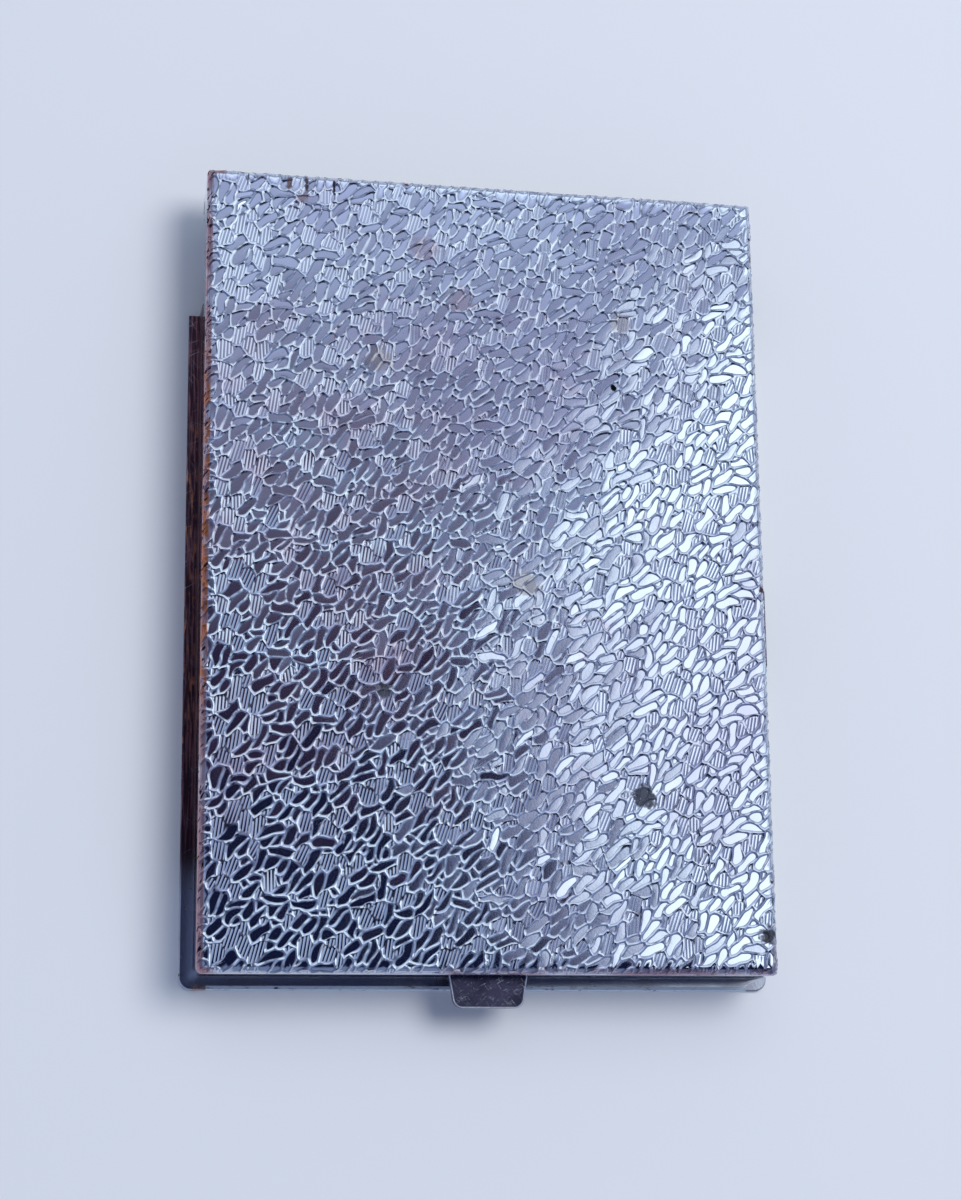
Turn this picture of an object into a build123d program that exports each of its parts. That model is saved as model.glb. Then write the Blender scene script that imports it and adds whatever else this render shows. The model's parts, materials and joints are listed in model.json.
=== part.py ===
from build123d import *
from math import asin, atan2, copysign, cos, degrees, hypot, pi, radians, sin, sqrt
import os

os.makedirs("parts", exist_ok=True)

# Pop-up telephone index: a shallow sheet-metal case whose sprung lid flips open at the
# letter chosen on the side slide. X is to the right, +Y runs back to the hinge, +Z is up.
# The origin is on the underside of the base plate, below the middle of the lid.

# ---------------------------------------------------------------- driving dimensions (mm)
# Case
LID_WIDTH = 70.0
LID_LENGTH = 98.8
TOTAL_HEIGHT = 9.65
SHEET = 0.5                 # lid and wall sheet
LID_FLANGE = 3.4            # depth of the lid's bent edges
LID_BEND = 0.9              # outer radius of the bend along each top edge
LID_CORNER = 0.7            # upright corners of the lid
BASE_SHEET = 0.5
LIP = 1.3                   # base plate beyond the wall, left, right and front
LIP_CORNER = 1.5
LIP_EDGE = 0.18             # rounding of the lip's upper edge
WALL_REAR_GAP = 16.2        # lid's rear face to the rear end of the walls and lip
WALL_CORNER = 1.0
LID_GAP = 1.0               # wall top to the lid's flange
FOOT_WIDTH = 3.0            # inturned foot of the wall
THIN_SHEET = 0.4            # brackets, feet and straps
REAR_INSET = 0.7            # rear of the base, inside the lid's sides
REAR_MARGIN = 1.5           # rear of the base, inside the lid's rear face
REAR_CORNER = 2.0
WALL_RIVET_FRONT = 12.0     # front rivet of a side foot behind the lid's front face
WALL_RIVET_REAR = 6.0       # rear rivet of a side foot in front of the walls' end
FRONT_RIVET_SPACING = 42.0  # rivets of the front foot
DENT_RIGHT = 18.0           # pressed dent in the front wall, right of the tab
DENT_BELOW_TOP = 2.05       # middle of the dent below the wall's top
DENT_RADIUS = 1.9
DENT_DEPTH = 0.25

# Clearances
RUN_CLEAR = 0.05            # pin in a turning hole
FIT_CLEAR = 0.02            # rivet or pin in a fixed hole
AIR = 0.2                   # pieces that pass each other

# Hinge
HINGE_INSET = 3.6           # axis in front of the lid's rear face
HINGE_DROP = 4.45           # axis below the lid's top
HINGE_PIN_RADIUS = 0.8
EAR_RADIUS = 1.6
PIN_INNER_HEAD = 0.5
SPRING_WIRE_RADIUS = 0.25
SPRING_COIL_RADIUS = 1.35
SPRING_PITCH = 1.0
SPRING_TURNS = 4
SPRING_LID_LEG_ANGLE = 155.0   # leg that presses up on the lid
SPRING_BASE_LEG_ANGLE = 225.0  # leg that rests on the bracket
WEB_FRONT = 4.0             # bracket in front of the ring centre
WEB_REAR = 2.4              # bracket behind the ring centre
EAR_RAMP = 1.0              # ear's foot behind the bracket's front edge
NECK_FRONT = 0.5            # rear of the ear's neck in front of the axis
STOP_BACK = 0.5             # stop behind the axis
STOP_HALF_WIDTH = 8.0
STOP_HEIGHT = 0.35
HINGE_RIVET_INSET = 7.7     # rivet inside the lid's side
HINGE_RIVET_FRONT = 2.6     # rivet in front of the ring centre

# Binder rings and leaves
RING_WIRE_RADIUS = 0.35
RING_TOP_GAP = 0.3          # ring to the lid's inner face
RING_SPACING = 32.0
RING_FRONT_OF_HINGE = 3.3
BAR_END = 6.0               # bar beyond each ring
BAR_WIDTH = 2.4
BAR_RIVET_SPACING = 17.6
LETTER_GROUPS = ("ab", "cd", "ef", "gh", "ij", "kl", "mn", "op", "qr", "st", "uv", "wx", "yz")
CHOSEN_LETTERS = "mn"       # where the slide stands
LETTER_MARGIN = 0.1         # leaf in front of the last letter group
LETTER_REAR_GAP = 9.4       # first letter group to the ring centre
LEAF_SHEET = 0.18
LEAF_PITCH = 0.3
LEAF_SIDE_GAP = 2.5         # leaf's left edge to the wall
LEAF_FRONT_GAP = 3.9        # leaf's front edge to the front wall
LEAF_CORNER = 2.0
LEAF_REAR_MARGIN = 0.9      # card behind a ring hole
STRIP_WIDTH = 4.5           # stepped right edge that the finger lifts
STRIP_SIDE_GAP = 3.0        # that edge to the right wall
STRIP_MARGIN = 2.6          # strip behind its letter's middle
STRIP_CORNER = 0.8
LEAF_NOTCH_GAP = 0.6        # leaf to the hinge pin's inner head
LEAF_NOTCH_LENGTH = 6.0     # cut beside the hinge spring, from the ring centre forwards

# Page bed
BED_LIFT = 0.7              # bed's underside above the base plate
BED_CORNER = 1.5
SKIRT_GAP = 0.15            # bed's skirt above the base plate
BED_FRONT_GAP = 2.0         # bed behind the leaves' front edge
BED_REAR_GAP = 6.5          # bed in front of the ring centre
BED_RIVET_INSET = 8.0

# Release lever and catch
TAB_ROOT_WIDTH = 9.55
TAB_TIP_WIDTH = 8.3
TAB_REACH = 3.7             # tab beyond the lid's front face
TAB_CORNER = 1.2
TAB_SHEET = 0.45
TAB_BELOW_FLANGE = 0.45     # tab's upper face below the lid's flange
TAB_RIM = 0.32
TAB_RIM_HEIGHT = 0.15
LEVER_EAR = 0.5
LEVER_BACK = 3.3            # rear face of the lever behind the lid's front face
PIVOT_BACK = 2.2            # pivot behind the lid's front face
PIVOT_BELOW_TAB = 1.35      # pivot below the tab's underside
PIVOT_PIN_RADIUS = 0.5
PIVOT_EAR_RADIUS = 1.0
NOSE_HEIGHT = 0.45
NOSE_LIFT = 0.7             # nose above the bracket's web
NOSE_WIDTH = 4.6
NOSE_FRONT = 1.65           # nose tip behind the lid's front face
CATCH_WIDTH = 5.0
CATCH_SHEET = 0.4
CATCH_BACK = 0.95           # catch strip behind the lid's front face
CATCH_TOE = 0.7
TOE_THICK = 0.35
WINDOW_SIDE = 0.6           # lever window beside the catch
NOTCH_DEPTH = 0.95          # notch in the front wall under the tab
NOTCH_SIDE = 0.6
LEVER_FOOT = 3.8            # bracket behind the lid's inner front face
LEVER_RIVET_SIDE = 2.0      # rivet inside the bracket's end
LEVER_RIVET_BACK = 3.1      # rivet behind the lid's inner front face
LEVER_HEAD_RADIUS = 0.8
LEVER_HEAD_THICK = 0.45
LEVER_SPRING_WIRE = 0.15
LEVER_SPRING_COIL = 0.85
LEVER_SPRING_PITCH = 0.7
LEVER_SPRING_TURNS = 3
LEVER_SPRING_SLANT = 0.225  # sideways room for the legs
LEVER_SPRING_BASE_LEG_ANGLE = 250.0
HOOK_FRONT = 1.3            # spring's hook under the tab, in front of the pivot
HOOK_LENGTH = 0.9

# Selector slide
RAIL_WIDTH = 3.4
RAIL_SHEET = 0.5
RAIL_INSET = 1.1            # rail inside the lid's right side
RAIL_DROP = 0.95            # rail below the lid's inner face
RAIL_FOOT = 2.2
RAIL_END_ROOM = 0.25        # carriage short of the rail's feet at the end letters
CARRIAGE_LENGTH = 8.0
CARRIAGE_SHEET = 0.55
CARRIAGE_SLIT = 1.4
FINGER_WIDTH = 4.0
FINGER_SHEET = 0.8
FINGER_THICK = 0.35
FINGER_SIDE_GAP = 1.5       # finger's upright inside the right wall
FINGER_GAP = 0.15           # finger above the rivet heads
ARM_WIDTH = 6.0
KNOB_LENGTH = 10.0
KNOB_THICK = 0.75
KNOB_HEIGHT = 2.5
KNOB_CORNER = 0.5
KNOB_GAP = 0.35             # knob outside the right wall
KNOB_GROOVES = 7
KNOB_GROOVE_PITCH = 1.2
KNOB_GROOVE_RADIUS = 0.22
POINTER_DROP = 0.6
POINTER_WIDTH = 1.6
SCALE_SHEET = 0.12
SCALE_BELOW_KNOB = 0.55
SCALE_LIFT = 0.35           # scale above the base plate
SCALE_END_ROOM = 3.0

# Lining and fasteners
LINER_SHEET = 0.22
LINER_MARGIN = 1.2
LINER_REAR_GAP = 11.4
RIVET_RADIUS = 0.6
RIVET_HEAD_RADIUS = 1.0
RIVET_HEAD_HEIGHT = 0.3
RIVET_HEAD_ANGLE = 25.0     # slope of the head's side
SPACER_RADIUS = 1.1

# ---------------------------------------------------------------- derived places
half_width = LID_WIDTH / 2
front = -LID_LENGTH / 2
rear = LID_LENGTH / 2
inner_x = half_width - SHEET
inner_front = front + SHEET
lid_under = TOTAL_HEIGHT - SHEET
flange_bottom = TOTAL_HEIGHT - LID_FLANGE
wall_top = flange_bottom - LID_GAP
wall_end = rear - WALL_REAR_GAP
foot_top = BASE_SHEET + THIN_SHEET

hinge_y = rear - HINGE_INSET
hinge_z = TOTAL_HEIGHT - HINGE_DROP
bracket_ear_outer = half_width - REAR_INSET
bracket_ear_inner = bracket_ear_outer - SHEET
spring_start = bracket_ear_inner - AIR - SPRING_WIRE_RADIUS - SPRING_PITCH * SPRING_TURNS
pin_end = spring_start - SPRING_WIRE_RADIUS - 2 * AIR
pin_tip = pin_end - PIN_INNER_HEAD
bar_top = foot_top + THIN_SHEET
ring_radius = (lid_under - RING_TOP_GAP - RING_WIRE_RADIUS - bar_top) / 2
ring_y = hinge_y - RING_FRONT_OF_HINGE
ring_z = bar_top + ring_radius
bar_length = RING_SPACING + 2 * BAR_END

leaf_left = -inner_x + LEAF_SIDE_GAP
leaf_right = inner_x - STRIP_SIDE_GAP
strip_left = leaf_right - STRIP_WIDTH
leaf_front = inner_front + LEAF_FRONT_GAP
leaf_count = len(LETTER_GROUPS)
bed_bottom = BASE_SHEET + BED_LIFT
bed_top = bed_bottom + THIN_SHEET
stack_bottom = bed_top + AIR
letters_front = leaf_front + LETTER_MARGIN
letter_pitch = (ring_y - LETTER_REAR_GAP - letters_front) / leaf_count

pivot_y = front + PIVOT_BACK
tab_top = flange_bottom - TAB_BELOW_FLANGE
tab_bottom = tab_top - TAB_SHEET
pivot_z = tab_bottom - PIVOT_BELOW_TAB
nose_bottom = foot_top + NOSE_LIFT
tab_half = TAB_ROOT_WIDTH / 2
lever_side_room = LEVER_SPRING_TURNS * LEVER_SPRING_PITCH + LEVER_SPRING_SLANT
lever_side_room += 2 * (LEVER_SPRING_WIRE + AIR)
span_half = tab_half + lever_side_room + LEVER_EAR

rail_right = inner_x - RAIL_INSET
rail_left = rail_right - RAIL_WIDTH
rail_top = lid_under - RAIL_DROP
rail_bottom = rail_top - RAIL_SHEET
arm_bottom = wall_top + AIR
arm_top = flange_bottom - AIR
knob_top = arm_top + RUN_CLEAR
knob_bottom = knob_top - KNOB_HEIGHT


def letter_y(group):
    """Middle of a letter group on the scale; the first group is nearest the hinge."""
    return letters_front + (leaf_count - group - 0.5) * letter_pitch


chosen_y = letter_y(LETTER_GROUPS.index(CHOSEN_LETTERS))


def save(piece, name):
    """Label a finished piece and write it to its own file."""
    piece.label = name
    export_step(piece, f"parts/{name}.step")


def bent_block(width, length, bottom, top, bend, corner):
    """Block with bent top edges that meet in mitres, and lightly rounded upright corners."""
    with BuildPart() as block:
        with BuildSketch(Plane.XY.offset(bottom)):
            RectangleRounded(width, length, corner)
        extrude(amount=top - bottom)
        for side_plane, span, reach in ((Plane.XZ, width, length), (Plane.YZ, length, width)):
            with BuildSketch(side_plane) as profile:
                with Locations((0, (top + bottom) / 2)):
                    Rectangle(span, top - bottom)
                fillet(profile.vertices().group_by(Axis.Y)[-1], bend)
            extrude(amount=reach, both=True, mode=Mode.INTERSECT)
    return block.part


def box_between(low, high, mode=Mode.ADD):
    """Box from its lowest to its highest corner, for use inside a part block."""
    with Locations((Vector(low) + Vector(high)) / 2):
        Box(high[0] - low[0], high[1] - low[1], high[2] - low[2], mode=mode)


def cylinder_along_x(start, end, y, z, radius, mode=Mode.ADD):
    """Round bar or bore along X between two places, for use inside a part block."""
    with Locations(((start + end) / 2, y, z)):
        Cylinder(radius, end - start, rotation=(0, 90, 0), mode=mode)


def leg_length(axis_z, coil_radius, wire_radius, angle, height):
    """Length of a spring's leg whose end reaches a level surface above or below the coil."""
    rise = sin(radians(angle))
    start = copysign((coil_radius + wire_radius) * abs(cos(radians(angle))), rise)
    return (height - axis_z - start) / rise


def coil_turns(turns, first_angle, last_angle):
    """Turns of a coil whose legs leave it at these angles, at most the given number."""
    return turns + (last_angle - first_angle - 180) / 360


def torsion_spring(
    axis_y, axis_z, start_x, turns, pitch, coil_radius, wire_radius, first_leg, last_leg, hook=0.0
):
    """Wound torsion spring along X with two straight legs.

    Each leg is (angle, length): the angle in the YZ plane, from +Y towards +Z, at which
    the leg leaves the coil. The hook is the last leg's end, bent to run along X.
    """
    whole = coil_turns(turns, first_leg[0], last_leg[0])
    coil_axis = Axis((0, axis_y, axis_z), (1, 0, 0))
    helix = Helix(pitch, whole * pitch, coil_radius, (start_x, axis_y, axis_z), (1, 0, 0))
    tangent = helix % 0
    leaving = Vector(0, -tangent.Y, -tangent.Z)
    wanted = Vector(0, 1, 0).rotate(Axis.X, first_leg[0])
    helix = helix.rotate(coil_axis, leaving.get_signed_angle(wanted, Vector(1, 0, 0)))
    with BuildPart() as spring:
        with BuildLine():
            add(helix)
        with BuildSketch(Plane(origin=helix @ 0, z_dir=helix % 0)):
            Circle(wire_radius)
        sweep(is_frenet=True)
        with BuildSketch(Plane(origin=helix @ 0, z_dir=(helix % 0) * -1)):
            Circle(wire_radius)
        extrude(amount=first_leg[1])
        with BuildSketch(Plane(origin=helix @ 1, z_dir=helix % 1)):
            Circle(wire_radius)
        extrude(amount=last_leg[1])
        if hook:
            leg_end = helix @ 1 + (helix % 1) * last_leg[1]
            with Locations(leg_end):
                Sphere(wire_radius)
            with BuildSketch(Plane(origin=leg_end, z_dir=(1, 0, 0))):
                Circle(wire_radius)
            extrude(amount=hook)
    return spring.part


# ---------------------------------------------------------------- fastener places
foot_middle = FOOT_WIDTH / 2
wall_rivets = [
    (side * (inner_x - foot_middle), y)
    for side in (-1, 1)
    for y in (wall_end - WALL_RIVET_REAR, (wall_end + front) / 2, front + WALL_RIVET_FRONT)
]
wall_rivets += [(side * FRONT_RIVET_SPACING / 2, inner_front + foot_middle) for side in (-1, 1)]
lever_rivets = [
    (side * (span_half - LEVER_RIVET_SIDE), inner_front + LEVER_RIVET_BACK) for side in (-1, 1)
]
hinge_rivets = [
    (side * (half_width - HINGE_RIVET_INSET), ring_y - HINGE_RIVET_FRONT) for side in (-1, 1)
]
bar_rivets = [(side * BAR_RIVET_SPACING / 2, ring_y) for side in (-1, 1)]
bed_left = -inner_x + FOOT_WIDTH + AIR
bed_right = strip_left - AIR
bed_front = leaf_front + BED_FRONT_GAP
bed_rear = ring_y - BED_REAR_GAP
bed_rivets = [
    (x, y)
    for x in (bed_left + BED_RIVET_INSET, bed_right - BED_RIVET_INSET)
    for y in (bed_front + BED_RIVET_INSET, bed_rear - BED_RIVET_INSET)
]

# ---------------------------------------------------------------- base
rear_half_width = half_width - REAR_INSET
plate_rear = rear - REAR_MARGIN
with BuildPart() as base_plate:
    with BuildSketch() as plate_outline:
        with Locations((0, (front - LIP + wall_end) / 2)):
            Rectangle(LID_WIDTH + 2 * LIP, wall_end - front + LIP)
        with Locations((0, (front + plate_rear) / 2)):
            Rectangle(2 * rear_half_width, plate_rear - front)
        fillet(plate_outline.vertices().group_by(Axis.Y)[0], LIP_CORNER)
        fillet(plate_outline.vertices().group_by(Axis.Y)[-1], REAR_CORNER)
    extrude(amount=BASE_SHEET)
    top_edges = base_plate.edges().group_by(Axis.Z)[-1]
    fillet(top_edges.filter_by_position(Axis.Y, front - 2 * LIP, wall_end - RUN_CLEAR), LIP_EDGE)
    with Locations(wall_rivets + lever_rivets + hinge_rivets + bar_rivets + bed_rivets):
        Hole(RIVET_RADIUS + FIT_CLEAR)
save(base_plate.part, "base_plate")

with BuildPart() as wall_frame:
    with BuildSketch(Plane.XY.offset(BASE_SHEET)):
        RectangleRounded(LID_WIDTH, LID_LENGTH, WALL_CORNER)
        RectangleRounded(2 * inner_x, -2 * inner_front, WALL_CORNER - SHEET, mode=Mode.SUBTRACT)
    extrude(amount=wall_top - BASE_SHEET)
    with BuildSketch(Plane.XY.offset(BASE_SHEET)):
        RectangleRounded(LID_WIDTH, LID_LENGTH, WALL_CORNER)
        Rectangle(2 * (inner_x - FOOT_WIDTH), -2 * (inner_front + FOOT_WIDTH), mode=Mode.SUBTRACT)
    extrude(amount=THIN_SHEET)
    box_between((-LID_WIDTH, wall_end, 0), (LID_WIDTH, LID_LENGTH, TOTAL_HEIGHT), Mode.SUBTRACT)
    notch_half = TAB_ROOT_WIDTH / 2 + NOTCH_SIDE
    box_between(
        (-notch_half, front - LIP, wall_top - NOTCH_DEPTH),
        (notch_half, inner_front + RUN_CLEAR, TOTAL_HEIGHT),
        Mode.SUBTRACT,
    )
    bracket_half = span_half + AIR
    box_between((-bracket_half, inner_front, 0), (bracket_half, leaf_front, wall_top), Mode.SUBTRACT)
    with Locations([(x, y, 0) for x, y in wall_rivets]):
        Hole(RIVET_RADIUS + FIT_CLEAR)
    dent_ball = (DENT_RADIUS**2 + DENT_DEPTH**2) / (2 * DENT_DEPTH)
    with Locations((DENT_RIGHT, front + DENT_DEPTH - dent_ball, wall_top - DENT_BELOW_TOP)):
        Sphere(dent_ball, mode=Mode.SUBTRACT)
save(wall_frame.part, "wall_frame")

scale_top = knob_bottom - SCALE_BELOW_KNOB
with BuildPart() as letter_scale:
    box_between(
        (half_width, letter_y(leaf_count - 1) - SCALE_END_ROOM, BASE_SHEET + SCALE_LIFT),
        (half_width + SCALE_SHEET, letter_y(0) + SCALE_END_ROOM, scale_top),
    )
save(letter_scale.part, "letter_scale")

with BuildPart() as page_bed:
    with BuildSketch(Plane.XY.offset(bed_bottom)) as bed_outline:
        with Locations(((bed_left + bed_right) / 2, (bed_front + bed_rear) / 2)):
            RectangleRounded(bed_right - bed_left, bed_rear - bed_front, BED_CORNER)
    extrude(amount=THIN_SHEET)
    for skirt_left in (bed_left, bed_right - THIN_SHEET):
        box_between(
            (skirt_left, bed_front + BED_CORNER, BASE_SHEET + SKIRT_GAP),
            (skirt_left + THIN_SHEET, bed_rear - BED_CORNER, bed_bottom + RUN_CLEAR),
        )
    with Locations([(x, y, 0) for x, y in bed_rivets]):
        Hole(RIVET_RADIUS + FIT_CLEAR)
save(page_bed.part, "page_bed")

with BuildPart() as bed_spacer_rivets:
    with BuildSketch():
        with Locations(bed_rivets):
            Circle(RIVET_RADIUS)
    extrude(amount=bed_top)
    with BuildSketch(Plane.XY.offset(BASE_SHEET)):
        with Locations(bed_rivets):
            Circle(SPACER_RADIUS)
    extrude(amount=bed_bottom - BASE_SHEET)
save(bed_spacer_rivets.part, "bed_spacer_rivets")

with BuildPart() as base_rivets:
    for places, top in ((wall_rivets + lever_rivets + hinge_rivets, foot_top), (bar_rivets, bar_top)):
        with BuildSketch():
            with Locations(places):
                Circle(RIVET_RADIUS)
        extrude(amount=top)
        with BuildSketch(Plane.XY.offset(top)):
            with Locations(places):
                Circle(RIVET_HEAD_RADIUS)
        extrude(amount=RIVET_HEAD_HEIGHT, taper=RIVET_HEAD_ANGLE)
save(base_rivets.part, "base_rivets")

# ---------------------------------------------------------------- hinge
web_front = ring_y - WEB_FRONT
web_rear = ring_y + WEB_REAR
neck_rear = hinge_y - NECK_FRONT
stop_front = hinge_y + STOP_BACK
stop_rear = stop_front + SHEET
stop_top = foot_top + STOP_HEIGHT
with BuildPart() as hinge_bracket:
    box_between((-bracket_ear_outer, web_front, BASE_SHEET), (bracket_ear_outer, web_rear, foot_top))
    box_between((-STOP_HALF_WIDTH, web_front, BASE_SHEET), (STOP_HALF_WIDTH, stop_rear, foot_top))
    box_between((-STOP_HALF_WIDTH, stop_front, BASE_SHEET), (STOP_HALF_WIDTH, stop_rear, stop_top))
    for ear_x in (-bracket_ear_outer, bracket_ear_inner):
        with BuildSketch(Plane.YZ.offset(ear_x)):
            with BuildLine():
                Polyline(
                    (web_front + EAR_RAMP, BASE_SHEET),
                    (neck_rear, BASE_SHEET),
                    (neck_rear, hinge_z),
                    (hinge_y - EAR_RADIUS, hinge_z),
                    (web_front + EAR_RAMP, foot_top),
                    close=True,
                )
            make_face()
            with Locations((hinge_y, hinge_z)):
                Circle(EAR_RADIUS)
                Circle(HINGE_PIN_RADIUS + FIT_CLEAR, mode=Mode.SUBTRACT)
        extrude(amount=SHEET)
    with Locations([(x, y, 0) for x, y in hinge_rivets + bar_rivets]):
        Hole(RIVET_RADIUS + FIT_CLEAR)
save(hinge_bracket.part, "hinge_bracket")

with BuildPart() as hinge_pin_right:
    cylinder_along_x(pin_end, half_width, hinge_y, hinge_z, HINGE_PIN_RADIUS)
    cylinder_along_x(pin_tip, pin_end, hinge_y, hinge_z, SPRING_COIL_RADIUS)
save(hinge_pin_right.part, "hinge_pin_right")
hinge_pin_left = mirror(hinge_pin_right.part, about=Plane.YZ)
save(hinge_pin_left, "hinge_pin_left")

hinge_wind = (hinge_z, SPRING_COIL_RADIUS, SPRING_WIRE_RADIUS)
base_leg = leg_length(*hinge_wind, SPRING_BASE_LEG_ANGLE, foot_top + RUN_CLEAR)
lid_leg = leg_length(*hinge_wind, SPRING_LID_LEG_ANGLE, lid_under - AIR)
hinge_spring_right = torsion_spring(
    hinge_y, hinge_z, spring_start, SPRING_TURNS, SPRING_PITCH, SPRING_COIL_RADIUS, SPRING_WIRE_RADIUS,
    (SPRING_BASE_LEG_ANGLE, base_leg), (SPRING_LID_LEG_ANGLE, lid_leg),
)
save(hinge_spring_right, "hinge_spring_right")
hinge_spring_left = mirror(hinge_spring_right, about=Plane.YZ)
save(hinge_spring_left, "hinge_spring_left")

# ---------------------------------------------------------------- binder
with BuildPart() as binder_bar:
    with BuildSketch(Plane.XY.offset(foot_top)):
        with Locations((0, ring_y)):
            SlotOverall(bar_length, BAR_WIDTH)
    extrude(amount=THIN_SHEET)
    with Locations([(x, y, 0) for x, y in bar_rivets]):
        Hole(RIVET_RADIUS + FIT_CLEAR)
save(binder_bar.part, "binder_bar")

for side, name in ((-1, "binder_ring_left"), (1, "binder_ring_right")):
    ring_x = side * RING_SPACING / 2
    with BuildPart() as binder_ring:
        with BuildSketch(Plane(origin=(ring_x, ring_y, ring_z), x_dir=(1, 0, 0), z_dir=(0, -1, 0))):
            with Locations((0, ring_radius)):
                Circle(RING_WIRE_RADIUS)
        revolve(axis=Axis((ring_x, ring_y, ring_z), (1, 0, 0)))
        split(bisect_by=Plane.XY.offset(bar_top), keep=Keep.TOP)
    save(binder_ring.part, name)

# ---------------------------------------------------------------- leaves
ring_inside = ring_radius - RING_WIRE_RADIUS
ring_outside = ring_radius + RING_WIRE_RADIUS
notch_width = -leaf_left - pin_tip + LEAF_NOTCH_GAP
for index, letters in enumerate(LETTER_GROUPS):
    leaf_bottom = stack_bottom + (leaf_count - 1 - index) * LEAF_PITCH
    low = leaf_bottom - ring_z
    high = low + LEAF_SHEET
    far_off = max(abs(low), abs(high))
    near_off = 0 if low < 0 < high else min(abs(low), abs(high))
    hole_front = ring_y - sqrt(ring_outside**2 - near_off**2) - AIR
    hole_rear = ring_y - sqrt(ring_inside**2 - far_off**2) + AIR
    leaf_rear = hole_rear + LEAF_REAR_MARGIN
    with BuildPart() as leaf:
        with BuildSketch(Plane.XY.offset(leaf_bottom)) as outline:
            with Locations(((leaf_left + strip_left) / 2, (leaf_front + leaf_rear) / 2)):
                Rectangle(strip_left - leaf_left, leaf_rear - leaf_front)
            if index < leaf_count - 1:
                strip_rear = letter_y(index + 1) + STRIP_MARGIN
                with Locations(((strip_left + leaf_right) / 2, (leaf_front + strip_rear) / 2)):
                    Rectangle(STRIP_WIDTH, strip_rear - leaf_front)
                fillet(outline.vertices().group_by(Axis.X)[-1].sort_by(Axis.Y)[-1], STRIP_CORNER)
            fillet(outline.vertices().group_by(Axis.Y)[0], LEAF_CORNER)
            with Locations((leaf_left, ring_y)):
                Rectangle(2 * notch_width, 2 * LEAF_NOTCH_LENGTH, mode=Mode.SUBTRACT)
            for ring_x in (-RING_SPACING / 2, RING_SPACING / 2):
                with Locations((ring_x, (hole_front + hole_rear) / 2)):
                    Rectangle(2 * (RING_WIRE_RADIUS + AIR), hole_rear - hole_front, mode=Mode.SUBTRACT)
        extrude(amount=LEAF_SHEET)
    save(leaf.part, f"leaf_{letters}")

# ---------------------------------------------------------------- lid
lid_outer = bent_block(LID_WIDTH, LID_LENGTH, flange_bottom, TOTAL_HEIGHT, LID_BEND, LID_CORNER)
lid_inner = bent_block(
    2 * inner_x, -2 * inner_front, flange_bottom - SHEET, lid_under, LID_BEND - SHEET, LID_CORNER - SHEET
)
with BuildPart() as lid_shell:
    add(lid_outer)
    add(lid_inner, mode=Mode.SUBTRACT)
    for ear_x in (-half_width, inner_x):
        with BuildSketch(Plane.YZ.offset(ear_x)):
            with Locations((hinge_y, hinge_z)):
                Circle(EAR_RADIUS)
            with Locations((hinge_y, (hinge_z + flange_bottom + SHEET) / 2)):
                Rectangle(2 * EAR_RADIUS, flange_bottom + SHEET - hinge_z)
        extrude(amount=SHEET)
    cylinder_along_x(-LID_WIDTH, LID_WIDTH, hinge_y, hinge_z, HINGE_PIN_RADIUS + RUN_CLEAR, Mode.SUBTRACT)
save(lid_shell.part, "lid_shell")

catch_front = front + CATCH_BACK
catch_rear = catch_front + CATCH_SHEET
catch_top = lid_under - LID_BEND
toe_top = nose_bottom - AIR
toe_bottom = toe_top - TOE_THICK
catch_half = CATCH_WIDTH / 2
with BuildPart() as lid_catch:
    box_between((-catch_half, inner_front, flange_bottom + AIR), (catch_half, catch_rear, catch_top))
    box_between((-catch_half, catch_front, toe_bottom), (catch_half, catch_rear, catch_top))
    box_between((-catch_half, catch_front, toe_bottom), (catch_half, catch_rear + CATCH_TOE, toe_top))
save(lid_catch.part, "lid_catch")

liner_right = rail_left - CARRIAGE_SHEET - 2 * AIR
with BuildPart() as lid_liner:
    box_between(
        (-inner_x + LINER_MARGIN, inner_front + LINER_MARGIN + CATCH_SHEET, lid_under - LINER_SHEET),
        (liner_right, rear - LINER_REAR_GAP, lid_under),
    )
save(lid_liner.part, "lid_liner")

# ---------------------------------------------------------------- selector slide
rail_front = letter_y(leaf_count - 1) - CARRIAGE_LENGTH / 2 - RAIL_END_ROOM - RAIL_FOOT
rail_rear = letter_y(0) + CARRIAGE_LENGTH / 2 + RAIL_END_ROOM + RAIL_FOOT
with BuildPart() as selector_rail:
    box_between((rail_left, rail_front, rail_bottom), (rail_right, rail_rear, rail_top))
    for foot_front in (rail_front, rail_rear - RAIL_FOOT):
        box_between((rail_left, foot_front, rail_bottom), (rail_right, foot_front + RAIL_FOOT, lid_under))
save(selector_rail.part, "selector_rail")

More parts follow.
